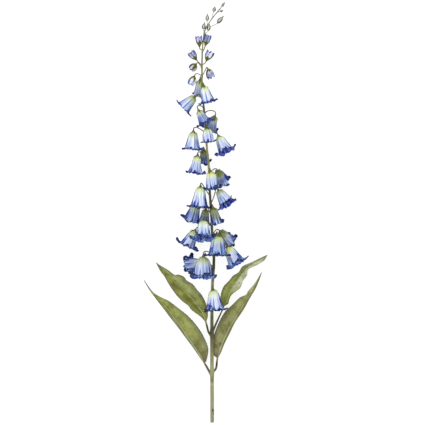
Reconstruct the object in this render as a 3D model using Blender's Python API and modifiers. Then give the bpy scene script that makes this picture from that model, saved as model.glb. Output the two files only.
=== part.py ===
"""Campanula spike: a cut, long-stemmed bellflower, laid on its back on a table.

Everything is measured from the cut end of the stem, in millimetres:
  along   distance from the cut end towards the tip of the spike (+Y)
  aside   distance to the right of the straight line through the cut end (+X)
  height  distance above the table (+Z)
A heading is an angle in degrees seen from above: 0 points back to the cut end, 90 to the right,
180 to the tip. A rise is an angle in degrees above the table. The origin ends up on the table,
under the middle of the whole spike.
"""

import math
from collections import namedtuple

import bmesh
import bpy
import numpy as np
from mathutils import Matrix, Vector

MM = 0.001

# Stem: (along, aside, radius). Its height follows a sine, so it rises from its cut end and
# levels out over the bells that carry it.
STEM_LINE = [
    (0.0, 0.2, 3.8), (50.0, 0.1, 3.8), (104.0, 0.0, 3.7), (178.0, -0.2, 3.5), (228.0, 0.0, 3.3),
    (272.0, 0.8, 3.1), (324.0, 3.8, 2.9), (358.0, 2.8, 2.8), (388.0, 0.0, 2.7), (418.0, -1.2, 2.6),
    (454.0, -3.8, 2.4), (518.0, -6.8, 2.3), (548.0, -10.0, 2.2), (588.0, -12.8, 2.1), (630.0, -16.2, 2.0),
    (664.0, -19.6, 1.8), (698.0, -20.0, 1.7), (720.0, -20.0, 1.6), (752.0, -18.8, 1.4), (780.0, -15.6, 1.2),
    (792.0, -11.4, 1.1), (808.0, -1.2, 1.0), (818.0, 6.8, 0.9), (834.0, 20.2, 0.7),
]
STEM_RISE = 54.0
STEM_LEVELS_OUT_AT = 720.0

# Bells: length runs from the top of the dome to the mouth, spread is the radius at the tips of
# the lobes as a share of the length, and full is how much the body bulges below its dome. A bell
# with no height lies on the table by its lip.
Bell = namedtuple("Bell", "along aside height heading rise length spread full root")
BELLS = [
    Bell(686.0, -24.0, 50.0, -4.0, -24.0, 33.0, 0.40, 0.0, 677.0),
    Bell(673.0, -15.5, 73.0, 14.0, 6.0, 34.0, 0.50, 0.1, 662.0),
    Bell(653.0, -35.0, 57.0, -46.0, 0.0, 34.0, 0.52, 0.6, 646.0),
    Bell(624.5, -26.0, 75.0, 27.0, 8.0, 29.0, 0.56, 0.7, 630.0),
    Bell(614.0, 5.5, 47.0, -19.0, -25.0, 31.0, 0.46, 0.2, 620.0),
    Bell(583.0, -37.0, 60.0, -3.0, 4.0, 37.0, 0.53, 0.4, 580.0),
    Bell(590.0, -9.5, 72.0, 6.0, 5.0, 29.0, 0.47, 1.4, 577.0),
    Bell(574.0, 13.5, 53.0, 26.0, 14.0, 36.0, 0.58, 0.6, 583.0),
    Bell(535.5, -29.0, 54.0, -8.0, 4.0, 37.0, 0.48, -0.4, 527.0),
    Bell(547.0, -17.5, 40.0, 5.0, -35.0, 28.0, 0.42, 0.1, 538.0),
    Bell(503.0, -3.0, 67.0, 8.0, 6.0, 36.0, 0.46, 0.8, 491.0),
    Bell(505.0, 11.5, None, 24.0, -51.0, 36.0, 0.48, 0.4, 499.0),
    Bell(473.5, -23.0, 63.0, -4.0, 4.0, 43.5, 0.52, 0.1, 456.0),
    Bell(466.0, 13.5, 50.0, 32.0, 24.0, 36.0, 0.54, 0.5, 441.0),
    Bell(440.0, -31.0, None, -17.0, -20.0, 38.0, 0.53, 0.5, 428.0),
    Bell(431.0, 2.5, 67.0, 15.0, -8.0, 34.0, 0.38, -0.2, 420.0),
    Bell(406.0, -16.5, 58.0, -1.0, 18.0, 40.0, 0.57, 0.6, 395.0),
    Bell(386.0, -34.0, 38.0, -27.0, -5.0, 37.0, 0.57, 0.5, 372.0),
    Bell(376.0, 10.5, 66.0, 0.0, 4.0, 42.0, 0.53, 0.7, 361.0),
    Bell(384.0, 17.0, None, 41.0, -43.0, 36.0, 0.49, 0.3, 378.0),
    Bell(352.5, 31.5, 40.0, 29.0, 11.0, 40.0, 0.58, 0.5, 343.0),
    Bell(334.0, -17.5, 54.0, -1.0, 8.0, 44.0, 0.50, 1.5, 336.0),
    Bell(321.0, -18.0, None, -83.0, -38.0, 37.0, 0.56, 0.5, 312.0),
    Bell(267.5, 2.5, 56.0, 5.0, 5.0, 43.5, 0.51, 0.4, 262.0),
    Bell(428.5, -12.5, 36.0, -8.0, -6.0, 30.0, 0.42, 0.2, 416.0),
]
LOBES = 5
BELL_SIDES_PER_LOBE = 3
# The rings of a bell as shares of its length: distances from the top of the dome, and the radii
# of a slim bell and what a full one adds. A radius stays under a share of the spread.
BELL_RINGS_AT = (0.11, 0.45, 0.84)
BELL_RADII = (0.195, 0.265, 0.370)
BELL_FULLNESS = (0.03, 0.07, 0.05)
BELL_RADIUS_LIMITS = (1.0, 0.76, 0.84)
LIP_TIP_AT = 0.96
LIP_NOTCH_AT = 0.93
LIP_NOTCH_SPREAD = 0.78
BELL_EYE_RADIUS = 2.0
PETAL_THICKNESS = 0.8

# Half-open buds on the upper stem. Open is 1 for petals that part in a cup, 0 for a round bud.
Bud = namedtuple("Bud", "along aside height heading rise length radius open root")
BUDS = [
    Bud(754.5, -25.0, 62.0, -176.0, 5.0, 22.0, 6.8, 1.0, 746.0),
    Bud(757.0, -13.0, 60.0, 163.0, 0.0, 23.0, 7.0, 1.0, 744.0),
    Bud(728.0, -31.5, 58.0, -143.0, -4.0, 21.0, 7.4, 1.0, 716.0),
    Bud(726.0, -11.0, 62.0, 155.0, 6.0, 22.0, 8.0, 1.0, 716.0),
    Bud(718.0, -32.0, 64.0, -43.0, 8.0, 16.5, 7.2, 0.0, 711.0),
    Bud(708.5, -8.0, 58.0, 24.0, -8.0, 21.0, 8.2, 0.5, 696.0),
    Bud(694.0, -35.5, 60.0, -24.0, 0.0, 20.0, 7.4, 0.0, 694.0),
]
# A bud's rings as shares of its length, and their radii as shares of its own, closed and open.
BUD_RINGS_AT = (0.16, 0.40, 0.66, 0.86)
CLOSED_BUD_RADII = (0.62, 0.97, 1.0, 0.82)
OPEN_BUD_RADII = (0.40, 0.76, 0.92, 0.98)
BUD_TIP_RADII = (0.60, 0.96)
BUD_NOTCH_RADII = (0.48, 0.62)
BUD_TIP_AT = 1.0
BUD_NOTCH_AT = 0.90
BUD_DIMPLE_AT = 0.80

# Closed green buds at the tip of the spike.
TIP_BUDS = [
    Bud(833.0, 19.5, 59.0, 147.0, 2.0, 12.0, 2.6, 0.0, 828.0),
    Bud(823.5, 3.4, 60.0, 165.0, 4.0, 11.0, 3.5, 0.0, 811.0),
    Bud(805.0, -9.6, 60.0, 178.0, 6.0, 15.0, 3.4, 0.0, 795.0),
    Bud(788.0, -17.6, 62.5, 168.0, 8.0, 15.0, 3.7, 0.0, 782.0),
    Bud(785.5, -7.6, 57.0, 168.0, -4.0, 15.0, 3.5, 0.0, 779.0),
    Bud(800.5, 10.8, 58.0, 139.0, -3.0, 20.0, 4.2, 0.0, 790.0),
    Bud(823.5, 16.0, 60.5, 110.0, 8.0, 7.5, 2.6, 0.0, 822.0),
]

# Stalks of the bells and buds. Each ends in five pointed sepals lying over the dome of its bell
# or the base of its bud, and through the eye of a bell it runs on as the style.
STALK_SIDES = 5
STALK_RADIUS = 1.1
BUD_STALK_RADIUS = 0.95
TIP_STALK_RADIUS = 0.65
STALK_HOOK = 10.0
BUD_STALK_HOOK = 5.0
STALK_SPANS = 5
STYLE_REACH = 0.62
STYLE_TIP_RADIUS = 1.4
CALYX_RADIUS = 2.4
CALYX_HEIGHT = 1.8
CALYX_NECK = 2.4
SEPAL_REACH = 6.2
BUD_SEPAL_SHARES = (0.85, 0.62)
# A closed bud's profile as shares of its length and of its radius.
TIP_BUD_PROFILE = [(0.10, 0.70), (0.34, 1.0), (0.60, 0.80), (0.84, 0.36), (1.0, 0.12)]
GAP = 0.4

# Leaves: a midrib is (along, aside, height) from stalk to tip. An edge is (aside, along), and its
# first and last points are the midrib's. The left and right halves of the blade, as seen on the
# way to the tip, rise or hang from it at their own angles.
Leaf = namedtuple("Leaf", "name stub blade_from rises waves wave_phase midrib left_edge right_edge")
LEAVES = [
    Leaf(
        "leaf_lower_left", 92.0, 1, (-70.0, 6.0), 3.0, 0.4,
        [(114.0, -11.5, 19.0), (121.0, -15.6, 21.0), (138.0, -25.5, 26.0), (158.0, -38.0, 29.5),
         (185.0, -56.0, 30.0), (209.0, -74.0, 25.0), (231.0, -91.0, 13.0), (247.5, -107.5, 3.0),
         (264.5, -123.2, 0.8), (286.0, -137.0, 0.8)],
        [(-21.0, 127.5), (-36.5, 149.5), (-52.5, 171.0), (-66.0, 189.5), (-82.0, 209.0), (-101.0, 234.0),
         (-114.0, 251.0), (-124.5, 265.0)],
        [(-12.0, 124.0), (-8.0, 148.0), (-16.5, 172.0), (-30.0, 194.0), (-49.0, 215.0), (-68.0, 230.0),
         (-87.0, 244.0), (-99.0, 249.5), (-112.0, 256.5), (-122.0, 265.0)],
    ),
    Leaf(
        "leaf_lower_right", 101.0, 1, (-9.0, -62.0), 3.0, 1.6,
        [(113.0, 9.0, 14.0), (130.0, 11.0, 13.0), (148.0, 16.0, 15.5), (166.0, 23.0, 20.0),
         (186.0, 32.0, 25.5), (205.0, 42.5, 27.5), (222.0, 53.0, 26.0), (242.0, 66.0, 20.5),
         (258.0, 76.0, 10.0), (272.0, 84.5, 2.5), (287.0, 93.0, 0.8), (302.0, 100.0, 0.8)],
        [(4.0, 136.0), (-1.0, 152.0), (4.5, 176.0), (10.0, 192.0), (18.0, 209.0), (27.5, 224.0), (42.5, 238.0),
         (56.0, 251.0), (69.0, 257.0), (73.5, 264.5), (84.0, 276.5), (92.0, 288.0)],
        [(18.0, 142.0), (25.5, 161.0), (35.0, 180.0), (46.5, 203.0), (62.0, 226.0), (75.0, 249.0), (86.5, 268.0),
         (94.5, 286.0)],
    ),
    Leaf(
        "leaf_upper_left", 174.0, 1, (12.0, -26.0), 3.5, 0.0,
        [(186.0, -8.0, 27.0), (203.5, -12.4, 31.0), (217.0, -17.0, 34.0), (232.0, -26.0, 36.0),
         (250.0, -40.0, 36.5), (264.0, -54.0, 34.0), (279.0, -70.0, 28.0), (296.0, -88.0, 19.0),
         (311.0, -102.0, 10.0), (322.0, -112.6, 4.0)],
        [(-22.5, 214.5), (-39.5, 227.0), (-47.5, 237.0), (-60.5, 247.0), (-72.0, 259.0), (-85.5, 278.0),
         (-95.5, 295.0), (-103.0, 304.5)],
        [(-9.0, 214.5), (-10.5, 234.0), (-20.0, 255.0), (-30.0, 266.5), (-39.5, 278.5), (-51.0, 285.5),
         (-57.0, 293.0), (-68.0, 297.5), (-76.0, 297.0), (-89.5, 307.0), (-106.5, 317.0)],
    ),
    Leaf(
        "leaf_upper_right", 177.0, 3, (-30.0, 32.0), 3.5, 2.0,
        [(197.0, 7.0, 28.0), (207.0, 11.5, 27.0), (220.0, 17.5, 26.0), (234.0, 23.6, 26.0),
         (250.0, 27.0, 27.0), (263.0, 31.5, 28.0), (276.0, 40.0, 28.0), (289.0, 50.0, 26.0),
         (303.0, 60.0, 21.0), (314.0, 71.0, 15.0), (325.0, 88.0, 9.0), (337.0, 111.5, 4.0)],
        [(18.0, 245.0), (18.5, 259.0), (24.0, 274.0), (35.0, 285.5), (42.5, 295.0), (54.0, 302.5), (62.0, 314.0),
         (77.0, 321.0), (92.5, 328.5)],
        [(32.0, 240.0), (33.5, 247.0), (39.0, 258.5), (55.0, 271.0), (61.5, 286.0), (69.5, 297.0), (73.5, 309.5),
         (90.5, 318.0), (104.0, 326.0)],
    ),
]
LEAF_SPANS_ALONG = 15
LEAF_SPANS_ACROSS = 4
LEAF_THICKNESS = 0.8
LEAF_TIP_HALF_WIDTH = 0.7
LEAF_WAVE_HEIGHT = 2.6
# Below this height of its midrib a blade flattens out, to lie on the table.
LEAF_FLATTENS_BELOW = 9.0
# A blade's fold grows from none at its base to its full angle at this share of its length.
LEAF_FOLDS_FULLY_AT = 0.12
LEAF_STALK_RADII = (2.1, 1.3, 0.6)
MIDRIB_ENDS_AT = 0.72
STALK_BELOW_BLADE = 0.5
STUB_RADIUS = 2.4
STUB_REACH = 7.0


def clear_scene():
    for obj in list(bpy.data.objects):
        bpy.data.objects.remove(obj)


def material(name, colour, roughness):
    """A Principled material with one colour, for a whole sub-part."""
    made = bpy.data.materials.new(name)
    made.use_nodes = True
    shader = made.node_tree.nodes["Principled BSDF"]
    shader.inputs["Base Color"].default_value = (*colour, 1.0)
    shader.inputs["Roughness"].default_value = roughness
    shader.inputs["Metallic"].default_value = 0.0
    return made


def unit(vector):
    return vector / np.linalg.norm(vector)


def direction(heading, rise):
    """The unit vector of a heading and a rise."""
    h, r = math.radians(heading), math.radians(rise)
    return np.array([math.sin(h) * math.cos(r), -math.cos(h) * math.cos(r), math.sin(r)])


def smooth_through(points, samples):
    """A Catmull-Rom curve through the points, with so many samples to each span."""
    p = np.array(points, float)
    p = np.vstack([2 * p[0] - p[1], p, 2 * p[-1] - p[-2]])
    out = []
    for i in range(1, len(p) - 2):
        for t in np.arange(samples) / samples:
            out.append(
                0.5 * (2 * p[i] + (p[i + 1] - p[i - 1]) * t
                       + (2 * p[i - 1] - 5 * p[i] + 4 * p[i + 1] - p[i + 2]) * t ** 2
                       + (3 * p[i] - p[i - 1] - 3 * p[i + 1] + p[i + 2]) * t ** 3)
            )
    out.append(p[-2])
    return np.array(out)


def even_curve(points, shares):
    """The smooth curve through the points, read at shares of its length."""
    fine = smooth_through(points, 12)
    run = np.concatenate([[0.0], np.cumsum(np.linalg.norm(np.diff(fine, axis=0), axis=1))])
    return np.stack([np.interp(shares, run / run[-1], column) for column in fine.T], axis=-1)


def stem_height(along):
    """Height of the stem's centreline: a quarter sine wave from the cut end, then level."""
    share = np.minimum(np.asarray(along, float) / STEM_LEVELS_OUT_AT, 1.0)
    return STEM_LINE[0][2] + STEM_RISE * np.sin(share * math.pi / 2)


STEM_CURVE = np.array(STEM_LINE)


def stem_point(along):
    aside = np.interp(along, STEM_CURVE[:, 0], STEM_CURVE[:, 1])
    return np.array([aside, along, float(stem_height(along))])


def link(obj, collection):
    collection.objects.link(obj)
    return obj


def finished(obj, name, collection):
    """A mesh of its own from the object with its modifiers, at the object's place. The object goes."""
    bpy.context.view_layer.update()
    graph = bpy.context.evaluated_depsgraph_get()
    mesh = bpy.data.meshes.new_from_object(obj.evaluated_get(graph))
    place = obj.matrix_world.copy()
    bpy.data.objects.remove(obj)
    made = link(bpy.data.objects.new(name, mesh), collection)
    made.matrix_world = place
    return made


def weld(mesh, distance=0.005 * MM):
    shape = bmesh.new()
    shape.from_mesh(mesh)
    bmesh.ops.remove_doubles(shape, verts=shape.verts, dist=distance)
    shape.to_mesh(mesh)
    shape.free()


def tube(name, points, radii, collection, bevel_resolution=0):
    """A closed tube along a poly line, with a radius at each point, made a mesh."""
    data = bpy.data.curves.new(name, "CURVE")
    data.dimensions = "3D"
    data.bevel_depth = MM
    data.bevel_resolution = bevel_resolution
    data.use_fill_caps = True
    spline = data.splines.new("POLY")
    spline.points.add(len(points) - 1)
    for point, place, radius in zip(spline.points, points, radii):
        point.co = (*(np.asarray(place) * MM), 1.0)
        point.radius = radius
    made = finished(link(bpy.data.objects.new(name, data), collection), name, collection)
    weld(made.data)
    return made


def grid_surface(name, across, along, shape_at, collection, closed=False):
    """An open sheet: a grid whose points are placed by shape_at(u, v), both from 0 to 1.

    A closed sheet has its two long edges welded, so that it is a ring.
    """
    shape = bmesh.new()
    bmesh.ops.create_grid(shape, x_segments=across, y_segments=along, size=0.5)
    for vert in shape.verts:
        vert.co = Vector(shape_at(vert.co.x + 0.5, vert.co.y + 0.5)) * MM
    if closed:
        bmesh.ops.remove_doubles(shape, verts=shape.verts, dist=0.01 * MM)
    mesh = bpy.data.meshes.new(name)
    shape.to_mesh(mesh)
    shape.free()
    return link(bpy.data.objects.new(name, mesh), collection)


def aim(obj, place, axis, roll=0.0):
    """Puts the object's +Z on the axis, turned about it by roll degrees, with its origin at place."""
    turn = Vector(axis).to_track_quat("Z", "Y").to_matrix().to_4x4()
    obj.matrix_world = (
        Matrix.Translation(Vector(np.asarray(place) * MM)) @ turn @ Matrix.Rotation(math.radians(roll), 4, "Z")
    )
    return obj


def lowest_point(obj):
    bpy.context.view_layer.update()
    evaluated = obj.evaluated_get(bpy.context.evaluated_depsgraph_get())
    mesh = evaluated.to_mesh()
    low = min((obj.matrix_world @ vert.co).z for vert in mesh.vertices)
    evaluated.to_mesh_clear()
    return low


def roll_of(index):
    """A bell's turn about its own axis, spread evenly by the golden angle."""
    return index * 137.5 % 360.0


def bell_rings(bell):
    """The rings of a bell below its eye: (distance from the top of the dome, radius) in mm."""
    radii = [
        min(slim + more * bell.full, limit * bell.spread)
        for slim, more, limit in zip(BELL_RADII, BELL_FULLNESS, BELL_RADIUS_LIMITS)
    ]
    return [(at * bell.length, radius * bell.length) for at, radius in zip(BELL_RINGS_AT, radii)]


def dome_height(radius, bell):
    """How far below the top of the dome the bell's straight first ring is, at this radius."""
    at, first_radius = bell_rings(bell)[0]
    return (radius - BELL_EYE_RADIUS) * at / (first_radius - BELL_EYE_RADIUS)


def make_bell(name, bell, roll, collection):
    """One corolla: a dome with an open eye for its stalk, a widening tube and five pointed lobes
    that flare out of the mouth. Each ring has one corner at a lobe's tip and two by the notch."""
    sides = LOBES * BELL_SIDES_PER_LOBE
    rings = [(0.0, BELL_EYE_RADIUS), *bell_rings(bell)]
    spans = len(rings)

    def shape_at(u, v):
        turn = 2 * math.pi * u
        ring = round(v * spans)
        at_tip = round(u * sides) % BELL_SIDES_PER_LOBE == 0
        if ring < spans:
            down, radius = rings[ring]
        else:
            down = bell.length * (LIP_TIP_AT if at_tip else LIP_NOTCH_AT)
            radius = bell.length * bell.spread * (1.0 if at_tip else LIP_NOTCH_SPREAD)
        return radius * math.cos(turn), radius * math.sin(turn), down

    obj = grid_surface(name, sides, spans, shape_at, collection, closed=True)
    wall = obj.modifiers.new("petal thickness", "SOLIDIFY")
    wall.thickness = PETAL_THICKNESS * MM
    wall.offset = -1.0
    wall.use_even_offset = True
    axis = direction(bell.heading, bell.rise)
    height = bell.height or 0.0
    aim(obj, (bell.aside, bell.along, height), axis, roll)
    if bell.height is None:
        height = -lowest_point(obj) / MM
        aim(obj, (bell.aside, bell.along, height), axis, roll)
    obj.data.shade_smooth()
    return obj, np.array([bell.aside, bell.along, height]), axis


def between(closed, opened, bud):
    """A share of the bud's radius, between that of a closed bud and that of an open one."""
    return closed + (opened - closed) * bud.open


def make_bud(name, bud, roll, collection):
    """A half-open bud: a pear-shaped body whose five petals end in points round a dimple."""
    sides = LOBES * 2
    rings = len(BUD_RINGS_AT)
    shape = bmesh.new()
    bmesh.ops.create_uvsphere(shape, u_segments=sides, v_segments=rings + 3, radius=1.0)
    levels = sorted({round(vert.co.z, 4) for vert in shape.verts})
    for vert in shape.verts:
        level = levels.index(round(vert.co.z, 4))
        turn = math.atan2(vert.co.y, vert.co.x)
        at_tip = round(turn / (2 * math.pi) * sides) % 2 == 0
        if level == 0:
            down, radius = 0.0, 0.0
        elif level <= rings:
            down = BUD_RINGS_AT[level - 1]
            radius = between(CLOSED_BUD_RADII[level - 1], OPEN_BUD_RADII[level - 1], bud)
        elif level == rings + 1:
            down = BUD_TIP_AT if at_tip else BUD_NOTCH_AT
            radius = between(*(BUD_TIP_RADII if at_tip else BUD_NOTCH_RADII), bud)
        elif level == rings + 2:
            down, radius = BUD_DIMPLE_AT + 0.05, 0.25
        else:
            down, radius = BUD_DIMPLE_AT, 0.0
        vert.co = (
            radius * bud.radius * math.cos(turn) * MM,
            radius * bud.radius * math.sin(turn) * MM,
            down * bud.length * MM,
        )
    mesh = bpy.data.meshes.new(name)
    shape.to_mesh(mesh)
    shape.free()
    mesh.shade_smooth()
    obj = link(bpy.data.objects.new(name, mesh), collection)
    return aim(obj, (bud.aside, bud.along, bud.height), direction(bud.heading, bud.rise), roll)


def ring_at(shape, centre, axis, side, radius):
    """A new ring of corners round an axis; side is the direction of its first corner."""
    other = np.cross(axis, side)
    turns = 2 * math.pi * np.arange(STALK_SIDES) / STALK_SIDES
    return [shape.verts.new((centre + radius * (math.cos(t) * side + math.sin(t) * other)) * MM) for t in turns]


def make_stalk(name, line, collection, roll=0.0, sepals=None):
    """A closed five-sided tube along a line of (point, radius), whose rings don't twist.

    With sepals, a (ring number, reach, distance down) of their tips, five pointed sepals fill
    the step between that ring and the next one, each from one side of the tube.
    """
    points = np.array([point for point, _ in line])
    axes = [unit(axis) for axis in np.gradient(points, axis=0)]
    axes[-1] = unit(points[-1] - points[-2])
    turn = Vector(axes[-1]).to_track_quat("Z", "Y") @ Matrix.Rotation(math.radians(roll), 3, "Z").to_quaternion()
    side = np.array(turn @ Vector((1.0, 0.0, 0.0)))
    shape = bmesh.new()
    rings = []
    for (point, radius), axis in zip(reversed(line), reversed(axes)):
        side = unit(side - np.dot(side, axis) * axis)
        rings.insert(0, ring_at(shape, point, axis, side, radius))
    shape.faces.new(reversed(rings[0]))
    shape.faces.new(rings[-1])
    for number, (low, high) in enumerate(zip(rings, rings[1:])):
        tips = []
        if sepals and number == sepals[0]:
            axis = axes[-1]
            for k in range(STALK_SIDES):
                middle = np.array((low[k].co + low[(k + 1) % STALK_SIDES].co) / 2) / MM
                outward = middle - points[number]
                outward = unit(outward - np.dot(outward, axis) * axis)
                tips.append(shape.verts.new((points[number] + outward * sepals[1] + axis * sepals[2]) * MM))
        for k in range(STALK_SIDES):
            n = (k + 1) % STALK_SIDES
            if tips:
                shape.faces.new((low[k], low[n], tips[k]))
                shape.faces.new((high[n], high[k], tips[k]))
                shape.faces.new((low[n], high[n], tips[k]))
                shape.faces.new((high[k], low[k], tips[k]))
            else:
                shape.faces.new((low[k], low[n], high[n], high[k]))
    mesh = bpy.data.meshes.new(name)
    shape.to_mesh(mesh)
    shape.free()
    return link(bpy.data.objects.new(name, mesh), collection)


def stalk_path(root_along, end, axis, hook, spans):
    """A nodding stalk: a cubic Bezier that leaves the stem upwards and outwards, and comes down
    on the end point along the axis of what it carries."""
    root = stem_point(root_along)
    reach = np.linalg.norm(end - root)
    upward = unit(stem_point(root_along + 5.0) - root)
    outward = (end - root) - np.dot(end - root, upward) * upward
    start = unit(upward * 0.75 + unit(outward) * 0.66)
    handles = [root, root + start * reach * 0.55, end - axis * hook, end]
    out = []
    for t in np.linspace(0.0, 1.0, spans + 1):
        weights = ((1 - t) ** 3, 3 * t * (1 - t) ** 2, 3 * t ** 2 * (1 - t), t ** 3)
        out.append(sum(w * h for w, h in zip(weights, handles)))
    return out


def bell_stalk(name, bell, top, axis, roll, collection):
    """The stalk of a bell, with its calyx over the dome and the style through its eye."""
    hub = dome_height(STALK_RADIUS, bell) - GAP
    neck = top + axis * (hub - CALYX_HEIGHT - CALYX_NECK)
    line = [(point, STALK_RADIUS) for point in stalk_path(bell.root, neck, axis, STALK_HOOK, STALK_SPANS)]
    calyx = len(line)
    line.append((top + axis * (hub - CALYX_HEIGHT), CALYX_RADIUS))
    line.append((top + axis * hub, STALK_RADIUS))
    line.append((top + axis * bell.length * STYLE_REACH, STYLE_TIP_RADIUS))
    reach_down = dome_height(SEPAL_REACH, bell) - GAP - (hub - CALYX_HEIGHT)
    return make_stalk(name, line, collection, roll, (calyx, SEPAL_REACH, reach_down))


def bud_stalk(name, bud, base, axis, roll, collection):
    """The stalk of a half-open bud, with its calyx round the base of the bud."""
    hub = -1.6 * GAP
    neck = base + axis * (hub - CALYX_HEIGHT - CALYX_NECK / 2)
    path = stalk_path(bud.root, neck, axis, BUD_STALK_HOOK, STALK_SPANS - 1)
    line = [(point, BUD_STALK_RADIUS) for point in path]
    calyx = len(line)
    line.append((base + axis * (hub - CALYX_HEIGHT), CALYX_RADIUS))
    line.append((base + axis * hub, BUD_STALK_RADIUS))
    reach = bud.radius * between(*BUD_SEPAL_SHARES, bud)
    first_radius = between(CLOSED_BUD_RADII[0], OPEN_BUD_RADII[0], bud)
    slope = BUD_RINGS_AT[0] * bud.length / (first_radius * bud.radius)
    reach_down = reach * slope - 1.6 * GAP - (hub - CALYX_HEIGHT)
    return make_stalk(name, line, collection, roll, (calyx, reach, reach_down))


def tip_bud(name, bud, collection):
    """A closed bud and its stalk in one: a tube that swells to the bud and tapers to its point."""
    axis = direction(bud.heading, bud.rise)
    base = np.array([bud.aside, bud.along, bud.height])
    path = stalk_path(bud.root, base, axis, BUD_STALK_HOOK * 0.6, STALK_SPANS - 2)
    line = [(point, TIP_STALK_RADIUS) for point in path]
    line += [(base + axis * at * bud.length, share * bud.radius) for at, share in TIP_BUD_PROFILE]
    return make_stalk(name, line, collection)


def leaf_side(tangent):
    """The level unit vector to the right of a direction of travel."""
    return unit(np.array([tangent[1], -tangent[0], 0.0]))


def blade_width(share):
    """The half width of a long pointed leaf, as a share of its widest, from stalk to tip."""
    return share ** 0.55 * (1.0 - share) ** 1.4 / 0.325


def make_leaf(leaf, collection, parts):
    """One leaf: a folded, wavy blade with its midrib and stalk fused along it. Each row of the blade
    joins its left edge, its midrib and its right edge at the same share of their lengths. A half
    hangs no steeper than brings its edge to the table, and where the midrib comes down on the
    table the blade lies flat on it."""
    midrib = np.array([(x, y, z) for y, x, z in leaf.midrib])
    shares = np.linspace(0.0, 1.0, LEAF_SPANS_ALONG + 1)
    line = even_curve(midrib[leaf.blade_from:], shares)
    tangents = np.gradient(line, axis=0)
    ends = line[0, :2], line[-1, :2]
    edges = [even_curve([ends[0], *edge, ends[1]], shares) for edge in (leaf.left_edge, leaf.right_edge)]

    def shape_at(u, v):
        row = round(v * LEAF_SPANS_ALONG)
        centre = line[row]
        across = 2.0 * u - 1.0
        half = int(across > 0)
        way = edges[half][row] - centre[:2]
        way = way + leaf_side(tangents[row])[:2] * math.copysign(LEAF_TIP_HALF_WIDTH, across)
        width = np.linalg.norm(way)
        clear = max(centre[2] - LEAF_THICKNESS, 0.0)
        lifted = min(clear / LEAF_FLATTENS_BELOW, 1.0)
        slope = math.tan(math.radians(leaf.rises[half])) * lifted * min(v / LEAF_FOLDS_FULLY_AT, 1.0)
        lift = abs(across) * width * max(slope, -clear / width)
        wave = LEAF_WAVE_HEIGHT * across ** 2 * blade_width(v) * lifted
        lift += wave * math.sin(2 * math.pi * leaf.waves * v + leaf.wave_phase + 1.8 * half)
        place = centre + np.array([*(way * abs(across)), lift])
        place[2] = max(place[2], LEAF_THICKNESS)
        return place

    blade = grid_surface(leaf.name + "_blade", LEAF_SPANS_ACROSS, LEAF_SPANS_ALONG, shape_at, parts)
    wall = blade.modifiers.new("blade thickness", "SOLIDIFY")
    wall.thickness = LEAF_THICKNESS * MM
    wall.offset = -1.0
    blade = finished(blade, leaf.name, collection)

    full_line = smooth_through(midrib, 1)
    full_line = full_line[: round(len(full_line) * MIDRIB_ENDS_AT)]
    shares = np.linspace(0.0, 1.0, len(full_line))
    radii = np.interp(shares, [0.0, 0.25, 1.0], LEAF_STALK_RADII)
    full_line[:, 2] -= STALK_BELOW_BLADE
    stalk = tube(leaf.name + "_stalk", full_line, radii, parts)
    join(blade, [stalk])
    for vert in blade.data.vertices:
        vert.co.z = max(vert.co.z, 0.0)
    weld(blade.data)
    blade.data.shade_smooth()
    return blade


def make_stub(leaf, collection):
    """The short side branch of the stem that carries a leaf's stalk, face to face with it."""
    root = stem_point(leaf.stub)
    first, second = (np.array([x, y, z - STALK_BELOW_BLADE]) for y, x, z in leaf.midrib[:2])
    along = unit(second - first)
    end = first - along * GAP
    bend = end - along * STUB_REACH
    points = [(1 - t) ** 2 * root + 2 * t * (1 - t) * bend + t ** 2 * end for t in np.linspace(0, 1, 5)]
    radii = np.linspace(STUB_RADIUS, LEAF_STALK_RADII[0], len(points))
    return tube(leaf.name + "_stub", points, radii, collection)


def join(target, others):
    """Fuses the others into the target with one Boolean union, and removes them."""
    bag = bpy.data.collections.new(target.name + " pieces")
    bpy.context.scene.collection.children.link(bag)
    for obj in others:
        for home in list(obj.users_collection):
            home.objects.unlink(obj)
        bag.objects.link(obj)
    union = target.modifiers.new("fuse", "BOOLEAN")
    union.operation = "UNION"
    union.operand_type = "COLLECTION"
    union.collection = bag
    union.solver = "EXACT"
    bpy.context.view_layer.update()
    graph = bpy.context.evaluated_depsgraph_get()
    mesh = bpy.data.meshes.new_from_object(target.evaluated_get(graph))
    target.modifiers.clear()
    target.data = mesh
    for obj in list(bag.objects):
        bpy.data.objects.remove(obj)
    bpy.data.collections.remove(bag)


def centre_on_table(objects, root):
    """Hangs the objects on an empty and shifts it, so that the origin is under their middle."""
    low, high = np.full(3, np.inf), np.full(3, -np.inf)
    bpy.context.view_layer.update()
    graph = bpy.context.evaluated_depsgraph_get()
    for obj in objects:
        evaluated = obj.evaluated_get(graph)
        mesh = evaluated.to_mesh()
        places = np.array([obj.matrix_world @ vert.co for vert in mesh.vertices])
        evaluated.to_mesh_clear()
        low, high = np.minimum(low, places.min(0)), np.maximum(high, places.max(0))
    for obj in objects:
        obj.parent = root
    root.location = (-(low[0] + high[0]) / 2, -(low[1] + high[1]) / 2, -low[2])


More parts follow.
